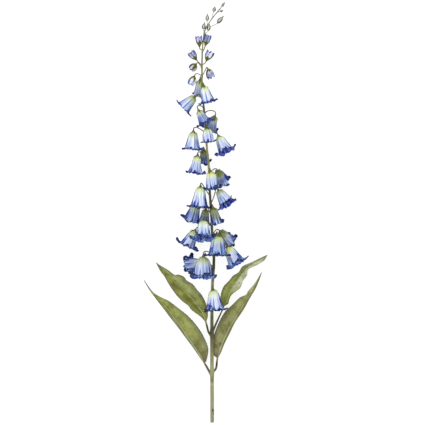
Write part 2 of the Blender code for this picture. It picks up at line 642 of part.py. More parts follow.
def main():
    clear_scene()
    spike = bpy.data.collections.new("campanula spike")
    parts = bpy.data.collections.new("pieces to fuse")
    bpy.context.scene.collection.children.link(spike)
    bpy.context.scene.collection.children.link(parts)
    green = material("stem green", (0.235, 0.250, 0.105), 0.6)
    leaf_green = material("leaf green", (0.215, 0.235, 0.060), 0.65)
    petal_blue = material("petal blue", (0.330, 0.420, 0.760), 0.7)
    bud_blue = material("bud blue", (0.300, 0.330, 0.680), 0.7)

    stem_line = [(aside, along, float(stem_height(along))) for along, aside, _ in STEM_CURVE]
    stem = tube("stem", stem_line, STEM_CURVE[:, 2], spike, bevel_resolution=2)
    sprouts = []
    made = []

    for number, bell in enumerate(BELLS, start=1):
        roll = roll_of(number)
        obj, top, axis = make_bell(f"bell_{number:02d}", bell, roll, spike)
        obj.data.materials.append(petal_blue)
        made.append(obj)
        sprouts.append(bell_stalk(f"stalk_{number:02d}", bell, top, axis, roll, parts))

    for number, bud in enumerate(BUDS, start=1):
        roll = roll_of(number)
        made.append(make_bud(f"bud_{number}", bud, roll, spike))
        made[-1].data.materials.append(bud_blue)
        axis = direction(bud.heading, bud.rise)
        base = np.array([bud.aside, bud.along, bud.height])
        sprouts.append(bud_stalk(f"bud_stalk_{number}", bud, base, axis, roll, parts))

    for number, bud in enumerate(TIP_BUDS, start=1):
        sprouts.append(tip_bud(f"tip_bud_{number}", bud, parts))

    for leaf in LEAVES:
        sprouts.append(make_stub(leaf, parts))
        made.append(make_leaf(leaf, spike, parts))
        made[-1].data.materials.clear()
        made[-1].data.materials.append(leaf_green)

    join(stem, sprouts)
    weld(stem.data)
    for vert in stem.data.vertices:
        vert.co.z = max(vert.co.z, 0.0)
    stem.data.materials.clear()
    stem.data.materials.append(green)
    made.append(stem)
    bpy.data.collections.remove(parts)

    root = link(bpy.data.objects.new("spike_origin", None), spike)
    centre_on_table(made, root)


main()
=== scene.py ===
"""Campanula spike, dressed: pleated bells, half-open buds, calyces, stalks, stem and leaves.

Shapes are worked out in the spike's own measures, in millimetres from the cut end of the stem:
  aside   to the right (+X)
  along   from the cut end to the tip of the spike (+Y)
  height  above the table (+Z)
and are put into the frame, in metres, where a mesh is made. A heading of 0 degrees points back to
the cut end and 90 to the right; a rise is an angle above the table.
"""

import math
from collections import namedtuple

import bpy
import numpy as np
from mathutils import Matrix, Vector


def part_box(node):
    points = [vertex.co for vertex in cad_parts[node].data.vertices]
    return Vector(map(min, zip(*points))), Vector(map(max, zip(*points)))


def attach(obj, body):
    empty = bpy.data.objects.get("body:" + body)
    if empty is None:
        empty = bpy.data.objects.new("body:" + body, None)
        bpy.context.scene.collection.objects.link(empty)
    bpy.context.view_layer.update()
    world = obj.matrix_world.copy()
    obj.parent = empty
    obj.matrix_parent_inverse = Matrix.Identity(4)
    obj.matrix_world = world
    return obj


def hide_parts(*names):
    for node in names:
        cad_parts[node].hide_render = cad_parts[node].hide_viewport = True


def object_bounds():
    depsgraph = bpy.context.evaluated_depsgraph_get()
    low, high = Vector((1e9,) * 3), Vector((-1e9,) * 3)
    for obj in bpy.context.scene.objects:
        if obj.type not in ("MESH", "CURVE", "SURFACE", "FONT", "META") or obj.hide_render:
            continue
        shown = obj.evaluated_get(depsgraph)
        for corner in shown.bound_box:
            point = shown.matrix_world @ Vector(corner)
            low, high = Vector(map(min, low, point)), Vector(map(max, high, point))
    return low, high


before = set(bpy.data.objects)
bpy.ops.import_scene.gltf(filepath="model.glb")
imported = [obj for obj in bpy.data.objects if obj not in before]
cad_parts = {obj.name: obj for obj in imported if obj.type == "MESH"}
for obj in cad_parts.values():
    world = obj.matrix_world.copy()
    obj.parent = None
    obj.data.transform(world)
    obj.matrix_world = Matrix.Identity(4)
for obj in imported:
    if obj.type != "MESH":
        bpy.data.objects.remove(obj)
cad_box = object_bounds()

MM = 0.001
TINY = 1e-9
UP = np.array([0, 0, 1])

# Stem: (along, aside, radius), with the height a quarter sine wave that levels out.
STEM_LINE = [
    (0, 0.2, 3.8), (50, 0.1, 3.8), (104, 0, 3.7), (178, -0.2, 3.5), (228, 0, 3.3),
    (272, 0.8, 3.1), (324, 3.8, 2.9), (358, 2.8, 2.8), (388, 0, 2.7), (418, -1.2, 2.6),
    (454, -3.8, 2.4), (518, -6.8, 2.3), (548, -10, 2.2), (588, -12.8, 2.1), (630, -16.2, 2),
    (664, -19.6, 1.8), (698, -20, 1.7), (720, -20, 1.6), (752, -18.8, 1.4), (780, -15.6, 1.2),
    (792, -11.4, 1.1), (808, -1.2, 1), (818, 6.8, 0.9), (834, 20.2, 0.7),
]
STEM_RISE = 54
STEM_LEVELS_OUT_AT = 720
STEM_LENGTH = STEM_LINE[-1][0]
STEM_SIDES = 30
CUT_RING_DEPTH = 5
# How far along the stem a joint stands out as a ring, and where a dark scar lies.
JOINT_AT = 79.6
SCAR_AT = 24.8
SCAR_OFF_MIDDLE = (2.2, 0, 2.9)

# Bells: full is how much a bell bulges below its dome, deep how blue and dark the whole corolla is,
# partly its own tone and partly painted shade, olive how green its dome is, or, past 1, its body
# too, and below 0 how yellow, rim how far the blue runs up from its lip, and curl how far the lip
# rolls back. A bell with no height lies by its lip.
Bell = namedtuple("Bell", "along aside height heading rise length spread full root deep olive rim curl")
BELLS = [Bell(*row) for row in [
    (686, -24, 50, -4, -24, 33, 0.40, 0, 677, 0.45, 0.3, 0.15, 0),
    (673, -15.5, 73, 14, 6, 34, 0.50, 0.1, 662, 0.05, -0.6, 0.25, 0),
    (653, -35, 57, -46, 0, 34, 0.52, 0.6, 646, 0.25, 0.5, 0.25, 0),
    (624.5, -26, 75, 27, 8, 29, 0.56, 0.7, 630, 0.65, 0.3, 0.6, 0.1),
    (614, 5.5, 47, -19, -25, 31, 0.46, 0.2, 620, 0.60, 0.7, 0.2, 0.1),
    (583, -37, 60, -3, 4, 37, 0.53, 0.4, 580, 0.10, 0.3, 0.30, 0),
    (590, -9.5, 72, 6, 5, 29, 0.47, 1.4, 577, 0.00, 0, 0.35, 0),
    (574, 13.5, 53, 26, 14, 36, 0.58, 0.6, 583, 0.05, 0, 0.5, 0.1),
    (535.5, -29, 54, -8, 4, 37, 0.48, -0.4, 527, 0.10, -0.6, 0.5, 0),
    (547, -17.5, 40, 5, -35, 28, 0.42, 0.1, 538, 1.00, 1.2, 1, 0.1),
    (503, -3, 67, 8, 6, 36, 0.46, 0.8, 491, 0.20, -1, 0.85, 0.25),
    (505, 11.5, None, 24, -51, 36, 0.48, 0.4, 499, 0.90, 1, 1, 0),
    (473.5, -23, 63, -4, 4, 43.5, 0.52, 0.1, 456, 0.05, 0, 1, 0),
    (466, 13.5, 50, 32, 24, 36, 0.54, 0.5, 441, 0.05, 0.4, 0.25, 0),
    (440, -31, None, -17, -20, 38, 0.53, 0.5, 428, 0.65, 0.6, 0.75, 0),
    (431, 2.5, 67, 15, -8, 34, 0.38, -0.2, 420, 0.40, 1.9, 1.05, 0),
    (406, -16.5, 58, -1, 18, 40, 0.57, 0.6, 395, 0.00, 0, 0.9, 0.4),
    (386, -34, 38, -27, -5, 37, 0.57, 0.5, 372, 0.15, 0.3, 0.7, 0.2),
    (376, 10.5, 66, 0, 4, 42, 0.53, 0.7, 361, 0.45, 0.2, 0.9, 0.1),
    (384, 17, None, 41, -43, 36, 0.49, 0.3, 378, 0.45, 1.1, 0.7, 0.1),
    (352.5, 31.5, 40, 29, 11, 40, 0.58, 0.5, 343, 0.05, -1, 0.9, 0),
    (334, -17.5, 54, -1, 8, 44, 0.50, 1.5, 336, 0.30, 0.5, 0.85, 0.9),
    (321, -18, None, -83, -38, 37, 0.56, 0.5, 312, 0.55, 0.2, 0.9, 0.2),
    (267.5, 2.5, 56, 5, 5, 43.5, 0.51, 0.4, 262, 0.20, -0.3, 1.25, 0),
    (428.5, -12.5, 36, -8, -6, 30, 0.42, 0.2, 416, 0.90, 1.3, 0.3, 0),
]]
LOBES = 5
# The solid bell's rings as shares of its length: distances from the top of the dome, the radii of
# a slim bell, what a full one adds, and the share of the spread that a radius stays under.
SOLID_RINGS_AT = (0.11, 0.45, 0.84)
SOLID_RADII = (0.195, 0.265, 0.370)
SOLID_FULLNESS = (0.03, 0.07, 0.05)
SOLID_LIMITS = (1, 0.76, 0.84)
SOLID_LIP_AT = 0.96
SOLID_SIDES = 15
BELL_EYE_RADIUS = 2
# Where a lobe's tip and a notch end, as shares: down along the bell, and out of the spread.
TIP_DOWN = 0.968
TIP_OUT = 0.88
NOTCH_DOWN = 0.915
NOTCH_OUT = 0.76
# A bell that heads further right than this gets a grey-blue painted shade on its left flank, and
# others on the right; buds, which head the other way, are the other way round.
PAINTED_SHADE_LEFT_PAST = 10

# Buds: open is 1 for petals that part in a cup and 0 for a round bud.
Bud = namedtuple(
    "Bud", "along aside height heading rise length radius open root deep sepal_share sepal_width")
BUDS = [Bud(*row) for row in [
    (754.5, -25, 62, -176, 5, 22, 6.8, 1, 746, 0.10, 0.52, 4.8),
    (757, -13, 60, 163, 0, 23, 7, 1, 744, 0.75, 0.42, 4),
    (728, -31.5, 58, -143, -4, 21, 7.4, 1, 716, 0.60, 0.44, 4.2),
    (726, -11, 62, 155, 6, 22, 8, 1, 716, 0.10, 0.56, 4.6),
    (718, -32, 64, -43, 8, 16.5, 7.2, 0, 711, 0.05, 1.00, 4.6),
    (708.5, -8, 58, 24, -8, 21, 8.2, 0.5, 696, 0.60, 0.42, 3.2),
    (694, -35.5, 60, -24, 0, 20, 7.4, 0, 694, 0.00, 0.66, 2.7),
]]
TipBud = namedtuple("TipBud", "along aside height heading rise length radius root grey")
TIP_BUDS = [TipBud(*row) for row in [
    (833, 19.5, 59, 147, 2, 12, 2.6, 828, 1),
    (823.5, 3.4, 60, 165, 4, 11, 3.5, 811, 0.6),
    (805, -9.6, 60, 178, 6, 15, 3.4, 795, 0.2),
    (788, -17.6, 62.5, 168, 8, 15, 3.7, 782, 0.4),
    (785.5, -7.6, 57, 168, -4, 15, 3.5, 779, 0),
    (800.5, 10.8, 58, 139, -3, 20, 4.2, 790, 0.3),
    (823.5, 16, 60.5, 110, 8, 7.5, 2.6, 822, 0.8),
]]
TIP_BUD_PROFILE = [(0, 0.22), (0.05, 0.50), (0.14, 0.82), (0.34, 1), (0.50, 0.90), (0.66, 0.62), (0.80, 0.36),
                   (0.92, 0.20), (1, 0.08)]

# What bells and buds have in their own sizes: the corolla's columns and rows, how far below its
# dome the stalk's line ends and runs on into the calyx, the stalk's hook, points and radius, the
# points of the calyx base and its size against the profile, and how far the sepals' tips stand off.
Kind = namedtuple(
    "Kind",
    "columns rows neck stalk_runs_on hook stalk_points stalk_radius calyx_points calyx_size sepal_lift",
)
BELL_KIND = Kind(LOBES * 24, 38, 5.1, 1.6, 10, 26, 1.1, 16, (1, 1), 1.6)
BUD_KIND = Kind(LOBES * 18, 30, 3.2, 1.2, 5, 22, 1, 14, (0.62, 0.66), 0.7)
BUD_SEEDS = 40
BUD_OLIVE = 0
BUD_RIM = 0.5
STALK_SIDES = 10
TIP_STALK_RADIUS = 0.6
TIP_STALK_HOOK = 3
TIP_BUD_SIDES = 20
GOLDEN_ANGLE = 137.5
# A calyx base under a corolla: (distance below the top of the dome, radius).
CALYX_PROFILE = [(-5.4, 0.95), (-4.4, 1.25), (-3.2, 1.95), (-1.9, 2.7), (-0.7, 3), (0.3, 2.7), (0.9, 1.6)]
CALYX_SIDES = 20
SEPAL_ROWS = 15
SEPAL_COLUMNS = 7
SEPAL_REACH = 7.4
SEPAL_HALF_WIDTH = 1.5
LEAST_SEPAL = 0.12
SEPAL_THICKNESS = 0.30
STYLE_REACH = 0.62
STYLE_RADIUS = 0.55
STIGMA_CURL = 2.4
ANTHER_REACH = 0.22

# A corolla's curves of (down, radius) at a lobe's tip and at a notch; how broad its lobes are; how
# deep its pleats and its ruffles are, as shares, and where ruffles start; how far the lobes' tips
# run on, where from and how wide; and its wall, with what the tips add to it.
Corolla = namedtuple(
    "Corolla", "tip notch lobe_power pleat ruffle ruffle_from hook hook_from hook_width wall hook_wall")
# Rows lie closer together towards the rim by this power. Widths are shares of half a lobe, and
# depths shares of the radius or of the length.
ROW_LEAN = 1.25
RIB_WIDTH = 0.13
VALLEY_WIDTH = 0.17
OVAL = 0.035
# Ruffles: (depth, waves round the rim, how far they lean along it).
RUFFLES = ((0.55, 2 * LOBES, 0), (0.60, 16, 1.5), (0.40, 27, 0))
SCALLOP = 0.024
MOST_HOOKED = 2.6
# A random wave starts anywhere up to this angle.
ANY_PHASE = 6.3

# A midrib is (along, aside, height) from stalk to tip; an edge is (aside, along) and starts and ends
# with the midrib. A rise is the slope of a half from the midrib out, and pale is how much of its
# pale underside a half shows, or, below 0, how much painted shade darkens it to a deep green, and
# from which share of its length.
# Brown is how brown the blade is, and how brown at its base, and rib how pale its midrib is.
Leaf = namedtuple(
    "Leaf", "name stub blade_from rises pale brown rib waves wave_phase midrib left_edge right_edge")
LEAVES = [
    Leaf(
        "leaf_lower_left", 92, 1, (-70, 6), ((-1.4, 0.2), (0, 0)), (0.15, 0.9), 0.3, 3, 0.4,
        [(114, -11.5, 19), (121, -15.6, 21), (138, -25.5, 26), (158, -38, 29.5),
         (185, -56, 30), (209, -74, 25), (231, -91, 13), (247.5, -107.5, 3),
         (264.5, -123.2, 0.8), (286, -137, 0.8)],
        [(-21, 127.5), (-36.5, 149.5), (-52.5, 171), (-66, 189.5), (-82, 209), (-101, 234),
         (-114, 251), (-124.5, 265)],
        [(-12, 124), (-8, 148), (-16.5, 172), (-30, 194), (-49, 215), (-68, 230),
         (-87, 244), (-99, 249.5), (-112, 256.5), (-122, 265)],
    ),
    Leaf(
        "leaf_lower_right", 101, 1, (-9, -62), ((0.9, 0.72), (-0.8, 0)), (0.6, 1), 0.3, 3, 1.6,
        [(113, 9, 14), (130, 11, 13), (148, 16, 15.5), (166, 23, 20),
         (186, 32, 25.5), (205, 42.5, 27.5), (222, 53, 26), (242, 66, 20.5),
         (258, 76, 10), (272, 84.5, 2.5), (287, 93, 0.8), (302, 100, 0.8)],
        [(4, 136), (-1, 152), (4.5, 176), (10, 192), (18, 209), (27.5, 224), (42.5, 238),
         (56, 251), (69, 257), (73.5, 264.5), (84, 276.5), (92, 288)],
        [(18, 142), (25.5, 161), (35, 180), (46.5, 203), (62, 226), (75, 249), (86.5, 268),
         (94.5, 286)],
    ),
    Leaf(
        "leaf_upper_left", 174, 1, (12, -26), ((-0.9, -0.1), (0.15, 0.3)), (0.15, 0.15), 0.3, 3.5, 0,
        [(186, -8, 27), (203.5, -12.4, 31), (217, -17, 34), (232, -26, 36),
         (250, -40, 36.5), (264, -54, 34), (279, -70, 28), (296, -88, 19),
         (311, -102, 10), (322, -112.6, 4)],
        [(-22.5, 214.5), (-39.5, 227), (-47.5, 237), (-60.5, 247), (-72, 259), (-85.5, 278),
         (-95.5, 295), (-103, 304.5)],
        [(-9, 214.5), (-10.5, 234), (-20, 255), (-30, 266.5), (-39.5, 278.5), (-51, 285.5),
         (-57, 293), (-68, 297.5), (-76, 297), (-89.5, 307), (-106.5, 317)],
    ),
    Leaf(
        "leaf_upper_right", 177, 3, (-30, 32), ((0.9, 0.6), (1, 0.2)), (0, 0), 0, 3.5, 2,
        [(197, 7, 28), (207, 11.5, 27), (220, 17.5, 26), (234, 23.6, 26),
         (250, 27, 27), (263, 31.5, 28), (276, 40, 28), (289, 50, 26),
         (303, 60, 21), (314, 71, 15), (325, 88, 9), (337, 111.5, 4)],
        [(18, 245), (18.5, 259), (24, 274), (35, 285.5), (42.5, 295), (54, 302.5), (62, 314),
         (77, 321), (92.5, 328.5)],
        [(32, 240), (33.5, 247), (39, 258.5), (55, 271), (61.5, 286), (69.5, 297), (73.5, 309.5),
         (90.5, 318), (104, 326)],
    ),
]
LEAF_THICKNESS = 0.6
SOLID_LEAF_THICKNESS = 0.8
LEAF_WAVE_HEIGHT = 2.6
LEAF_FLATTENS_BELOW = 9
LEAF_FOLDS_FULLY_AT = 0.12
LEAF_STALK_RADII = (2.1, 1.3, 0.5)
MIDRIB_ENDS_AT = 0.9
STALK_BELOW_BLADE = 0.5
STUB_RADIUS = 2.4
STUB_REACH = 7.4
VEIN_SPACING = 11
VEIN_SLANT = 0.9
VEIN_WIDTH = 0.9
BLADE_ROWS = 163
BLADE_COLUMNS = 45
MIDRIB_SAMPLES = 8
EVEN_CURVE_SAMPLES = 12
BOX_CLEARANCE = 0.5

# The picture is 425 by 425, and 2.0 mm to a pixel at the height of the middle of the spike.
PICTURE_SIDE = 0.850
PICTURE_CENTRE = (1, 422.6)
MIDDLE_HEIGHT = 45
CAMERA_DISTANCE = 6
SENSOR = 36
FLOOR_REACH = 3
# How bright the surround is, and the floor's own glow.
SURROUND = 0.80


def unit(vectors):
    """Each vector divided by its own length."""
    vectors = np.asarray(vectors, float)
    return vectors / np.linalg.norm(vectors, axis=-1, keepdims=True)


def together(*parts):
    """Numbers and arrays brought to one shape, as the parts of a vector at each place."""
    return np.stack(np.broadcast_arrays(*parts), axis=-1)


def evenly(count):
    """Shares from 0 to 1."""
    return np.linspace(0, 1, count)


def turns(count):
    """Angles spread evenly round a circle, from 0."""
    return 2 * math.pi * np.arange(count) / count


def round_axis(radius, turn, down):
    """Points at a radius and a turn about Z, so far along it."""
    return together(radius * np.cos(turn), radius * np.sin(turn), down)


def soft_step(values, start, end):
    """0 before start and 1 after end, with 3t squared less 2t cubed between."""
    t = np.clip((values - start) / (end - start), 0, 1)
    return t * t * (3 - 2 * t)


def hump(values, width):
    """A bell curve: e to the minus square of the values' share of the width."""
    return np.exp(-((values / width) ** 2))


def run_along(curve):
    """The length of a curve from its start to each of its points."""
    return np.concatenate([[0], np.cumsum(np.linalg.norm(np.diff(curve, axis=0), axis=1))])


def smooth_through(points, samples):
    """A Catmull-Rom curve through the points, with so many samples to each span."""
    p = np.asarray(points, float)
    p = np.vstack([2 * p[0] - p[1], p, 2 * p[-1] - p[-2]])
    a, b, c, d = (x[:, None, :] for x in (p[:-3], p[1:-2], p[2:-1], p[3:]))
    t = (np.arange(samples) / samples)[None, :, None]
    curve = 0.5 * (2 * b + (c - a) * t + (2 * a - 5 * b + 4 * c - d) * t ** 2
                   + (3 * b - a - 3 * c + d) * t ** 3)
    return np.vstack([curve.reshape(-1, p.shape[1]), p[-2]])


def even_curve(points, shares):
    """The smooth curve through the points, read at shares of its length."""
    fine = smooth_through(points, EVEN_CURVE_SAMPLES)
    run = run_along(fine)
    return together(*(np.interp(shares, run / run[-1], part) for part in fine.T))


def spike_origin():
    """Where the spike's measures start in the frame, in millimetres: the middle of the ring of
    corners at the solid stem's cut end, less that ring's own aside and height."""
    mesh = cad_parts["stem"].data
    corners = np.empty(len(mesh.vertices) * 3)
    mesh.vertices.foreach_get("co", corners)
    corners = corners.reshape(-1, 3) / MM
    ring = corners[corners[:, 1] < corners[:, 1].min() + CUT_RING_DEPTH]
    middle = (ring.min(axis=0) + ring.max(axis=0)) / 2
    return np.array([middle[0] - STEM_LINE[0][1], middle[1], 0])


ORIGIN = spike_origin()
TOP_OF_BOX = cad_box[1].z / MM


def stem_height(along):
    """A quarter sine wave from the cut end, then level."""
    share = np.minimum(np.asarray(along, float) / STEM_LEVELS_OUT_AT, 1)
    return STEM_LINE[0][2] + STEM_RISE * np.sin(share * math.pi / 2)


def stem_point(along):
    """The middle of the stem so far along it."""
    alongs, asides, _ = np.transpose(STEM_LINE)
    return np.array([np.interp(along, alongs, asides), along, float(stem_height(along))])


def direction(heading, rise):
    """The unit vector of a heading and a rise."""
    h, r = math.radians(heading), math.radians(rise)
    return np.array([math.sin(h) * math.cos(r), -math.cos(h) * math.cos(r), math.sin(r)])


def put_in_scene(name, data):
    """A new object of the data, in the scene."""
    made = bpy.data.objects.new(name, data)
    bpy.context.scene.collection.objects.link(made)
    return made


class Shape:
    """The points, faces and marks of one piece, gathered shell by shell."""

    def __init__(self):
        self.points, self.faces, self.marks, self.count = [], [], {}, 0

    def add(self, points, faces, **marks):
        """One more shell. A mark is one vector for all its points, or one to a point."""
        points = np.reshape(points, (-1, 3))
        self.points.append(points)
        self.faces += [f + self.count for f in faces]
        for name, values in marks.items():
            self.marks.setdefault(name, []).append(np.broadcast_to(np.reshape(values, (-1, 3)), points.shape))
        self.count += len(points)

    def piece(self, name, finish, slot, node):
        """The mesh of all shells as a piece of the model that stands for the node."""
        mesh = bpy.data.meshes.new(name)
        places = (np.vstack(self.points) + ORIGIN) * MM
        mesh.from_pydata(places, [], [f for block in self.faces for f in block.tolist()])
        for mark, blocks in self.marks.items():
            layer = mesh.attributes.new(mark, "FLOAT_VECTOR", "POINT")
            layer.data.foreach_set("vector", np.vstack(blocks).astype(np.float32).ravel())
        mesh.shade_smooth()
        mesh.materials.append(finish)
        made = put_in_scene(name, mesh)
        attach(made, "root")
        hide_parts(node)


def grid_faces(rows, columns, wrap):
    """Four-sided faces of a grid of points stored row by row; a wrapped grid closes round."""
    near = np.arange(columns if wrap else columns - 1)
    far = (near + 1) % columns
    up = np.arange(rows - 1)[:, None] * columns
    return together(up + near, up + far, up + columns + far, up + columns + near).reshape(-1, 4)


def edge_strip(low, high, wrap):
    """Faces between two rows of corner numbers, pointing the way low, next low, next high does."""
    if wrap:
        return together(low, np.roll(low, -1), np.roll(high, -1), high)
    return together(low[:-1], low[1:], high[1:], high[:-1])


def cup_faces(rows, columns):
    """A shell that closes round: its outer grid, then its inner grid, joined at the eye and the rim."""
    outer, size = grid_faces(rows, columns, True), rows * columns
    first = np.arange(columns)
    last = first + size - columns
    walls = edge_strip(last, last + size, True), edge_strip(first + size, first, True)
    return [outer, outer[:, ::-1] + size, *walls]


def blade_faces(rows, columns):
    """A flat shell: its upper grid, then its under grid, joined along all four edges."""
    upper, size = grid_faces(rows, columns, False), rows * columns
    numbers = np.arange(size).reshape(rows, columns)
    edges = numbers[0], numbers[:, -1], numbers[-1, ::-1], numbers[::-1, 0]
    return [upper, upper[:, ::-1] + size, *(edge_strip(edge + size, edge, False) for edge in edges)]


def rod_faces(rows, columns):
    """A closed rod: its rings, then the points at the middles of its two ends."""
    first, start = np.arange(columns), rows * columns
    last = first + start - columns
    caps = [together(start, np.roll(first, -1), first), together(start + 1, last, np.roll(last, -1))]
    return [grid_faces(rows, columns, True), *caps]


def add_rod(shape, line, radii, sides, reference, tangents=None, **marks):
    """A closed rod: rings of points square to a line. A ring's first point lies in the reference
    direction, less the part of it that runs along the line. Radii are one to a ring or one to a
    point, and a mark is one vector for the rod, to a ring or to a point."""
    tangents = unit(np.gradient(line, axis=0)) if tangents is None else tangents
    side = unit(reference - (tangents @ reference)[:, None] * tangents)
    other = np.cross(tangents, side)
    turn = turns(sides)[:, None]
    spokes = np.cos(turn) * side[:, None] + np.sin(turn) * other[:, None]
    rings = line[:, None] + np.reshape(radii, (len(line), -1, 1)) * spokes
    full = {}
    for name, values in marks.items():
        values = values if np.ndim(values) == 3 else np.reshape(values, (-1, 1, 3))
        values = np.broadcast_to(values, rings.shape)
        full[name] = np.vstack([values.reshape(-1, 3), values[0, :1], values[-1, :1]])
    shape.add(np.vstack([rings.reshape(-1, 3), line[:1], line[-1:]]), rod_faces(len(line), sides), **full)


def wall_inside(outer, thickness):
    """The inner face of a closed-round shell: each point moved in, against the normal that the
    grid's own two directions give."""
    round_way = np.roll(outer, -1, axis=1) - np.roll(outer, 1, axis=1)
    normal = unit(np.cross(round_way, np.gradient(outer, axis=0)) + TINY)
    return outer - normal * thickness


def keep_on_table(points, clearance):
    """Heights that would sink into the table, or rise out of the box, are held at its faces."""
    points[..., 2] = np.clip(points[..., 2], clearance, TOP_OF_BOX - BOX_CLEARANCE)
    return points


# Where a flower is: the middle of its dome, its axis, and its own X, Y and Z as columns.
Place = namedtuple("Place", "top axis turn")


def solid_radii(bell):
    """The radii of the solid bell's rings as shares of its length: a slim bell's plus what its
    fullness adds, held under a share of its spread."""
    return [min(slim + more * bell.full, limit * bell.spread)
            for slim, more, limit in zip(SOLID_RADII, SOLID_FULLNESS, SOLID_LIMITS)]


def solid_height(bell, turn):
    """How far the solid bell's own rings rise above the middle of its dome."""
    corners = turns(SOLID_SIDES)
    rings = [round_axis(radius, corners, down) for radius, down in zip(solid_radii(bell), SOLID_RINGS_AT)]
    lip = round_axis(bell.spread, corners[::3], SOLID_LIP_AT)
    return (np.vstack([*rings, lip]) * bell.length @ turn.T)[:, 2].max()


def place_of(flower, number):
    """A flower's place, turned about its own axis by the golden angle times its number. A bell
    that lies by its lip is as high as its solid's box says."""
    axis = direction(flower.heading, flower.rise)
    roll = Matrix.Rotation(math.radians(number * GOLDEN_ANGLE % 360), 3, "Z")
    turn = np.array(Vector(axis).to_track_quat("Z", "Y").to_matrix() @ roll)
    height = flower.height
    if height is None:
        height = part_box(f"bell_{number:02d}")[1].z / MM - solid_height(flower, turn)
    return Place(np.array([flower.aside, flower.along, height]), axis, turn)


def lobes_at(turn):
    """The number of the lobe at a turn, and the place across it, from -1 to 1 with 0 at its middle."""
    place = turn * LOBES / (2 * math.pi) + 0.5
    return np.floor(place).astype(int) % LOBES, place % 1 * 2 - 1


def corolla_grid(form, length, seed, turn, share):
    """The outer face of a corolla about Z, in rows from its eye to its rim, and how thick it is.

    Every column is a curve of (down, radius). It is the lobe's middle curve times w plus the
    notch's times 1 - w, where w is 1 less the distance from the lobe's middle to a power. On
    this lie valleys at the notches and ribs at the middles of the lobes, an oval, waves and
    scallops that grow towards the rim, and at each lobe's tip an arc that runs on outwards and
    curls back, more on one side of the lobe than on the other, with a thicker wall.
    """
    draw = np.random.default_rng(seed)
    lobe, fold = lobes_at(turn)
    s = share[:, None]
    broad = (1 - np.abs(fold) ** form.lobe_power)[None, :, None]
    tip, notch = even_curve(form.tip, share)[:, None], even_curve(form.notch, share)[:, None]
    curve = notch * (1 - broad) + tip * broad
    down, radius = curve[..., 0], curve[..., 1]

    crease = np.cos(fold * 2 * math.pi * 1.5 + draw.uniform(0, ANY_PHASE, LOBES)[lobe] * 0.3)
    window = soft_step(s, 0.08, 0.35) * (1 - 0.55 * soft_step(s, 0.75, 0.95))
    pleats = 0.9 * hump(fold, RIB_WIDTH) - 1.5 * hump(1 - np.abs(fold), VALLEY_WIDTH) + 0.35 * crease
    radius = radius * (1 + form.pleat * window * pleats)
    radius = radius * (1 + OVAL * np.cos(2 * turn + draw.uniform(0, ANY_PHASE)) * soft_step(s, 0.1, 0.6))

    slope = unit(together(np.gradient(down, axis=0), np.gradient(radius, axis=0)) + TINY)
    grown = soft_step(s, form.ruffle_from, 1.05) ** 1.4
    wave = sum(deep * np.sin(count * turn + draw.uniform(0, ANY_PHASE) + lean * s)
               for deep, count, lean in RUFFLES)
    lift = form.ruffle * length * grown * wave
    scallop = 0.5 + 0.5 * np.cos(21 * turn + draw.uniform(0, ANY_PHASE))
    scallop = scallop + 0.4 * np.sin(13 * turn + draw.uniform(0, ANY_PHASE))
    drop = SCALLOP * length * scallop * soft_step(s, 0.86, 1)
    down = down - lift * slope[..., 1] + drop * slope[..., 0]
    radius = radius + lift * slope[..., 0] + drop * slope[..., 1]

    reach = length * form.hook * draw.uniform(0.50, 1.00, LOBES)[lobe]
    bend = draw.uniform(0.7, 2.1, LOBES)[lobe]
    twist = 1 + draw.uniform(-0.9, 0.9, LOBES)[lobe] * np.clip(fold / form.hook_width, -1, 1)
    late = np.clip((s - form.hook_from) / (1 - form.hook_from), 0, 1) ** 1.3
    narrow = soft_step(1 - np.abs(fold) / form.hook_width, 0, 0.8)
    angle = np.minimum(bend * late * twist, MOST_HOOKED)
    radius = radius + narrow * reach * np.sin(angle) / bend
    down = down - narrow * reach * (1 - np.cos(angle)) / bend * 1.15
    return round_axis(radius, turn, down), form.wall + form.hook_wall * narrow * late


def make_corolla(kind, form, length, place, seed, deep, olive, rim, painted_shade_side):
    """A corolla in its place, as a shell with an eye, marked for its colours: deep, olive and rim
    are the flower's own, each lobe has a blue of its own, and the flank mark is 1 or -1 where a
    column points level and square to the axis. The last argument is its sign on the left flank of a
    flower that points back, and the flank marked 1 gets a grey-blue painted shade."""
    turn = turns(kind.columns)
    share = 1 - (1 - evenly(kind.rows)) ** ROW_LEAN
    lobe, fold = lobes_at(turn)
    local, wall = corolla_grid(form, length, seed, turn, share)
    outer = keep_on_table(place.top + local @ place.turn.T, 0.9)
    inner = keep_on_table(wall_inside(outer, wall[..., None]), 0.4)
    flank = painted_shade_side * (round_axis(1, turn, 0) @ place.turn.T @ unit(np.cross(place.axis, (0, 0, 1))))
    blue = np.random.default_rng(seed + 300).permutation(LOBES)[lobe] / (LOBES - 1)
    shape = Shape()
    shape.add(
        [outer, inner],
        cup_faces(kind.rows, kind.columns),
        round=[round_axis(1, turn, local[..., 2] / length)] * 2,
        petal=[together(np.abs(fold), share[:, None], inside) for inside in (0, 1)],
        tint=(deep, olive, seed * 3.7),
        flank=np.broadcast_to(together(flank, blue, rim), (2, *outer.shape)),
    )
    return shape


def stalk_curve(root_along, end, axis, hook, count):
    """A nodding stalk: a cubic Bezier that leaves the stem upwards and outwards and comes down on
    its end along the axis of what it carries."""
    root = stem_point(root_along)
    reach = np.linalg.norm(end - root)
    upward = unit(stem_point(root_along + 5) - root)
    outward = (end - root) - np.dot(end - root, upward) * upward
    start = unit(upward * 0.75 + unit(outward) * 0.66)
    handles = np.array([root, root + start * reach * 0.55, end - axis * hook, end])
    t = evenly(count)[:, None]
    weights = np.hstack([(1 - t) ** 3, 3 * t * (1 - t) ** 2, 3 * t ** 2 * (1 - t), t ** 3])
    return weights @ handles


def own_share(seed):
    """A share from 0 to 1 that is a flower's own."""
    return seed * 0.618 % 1


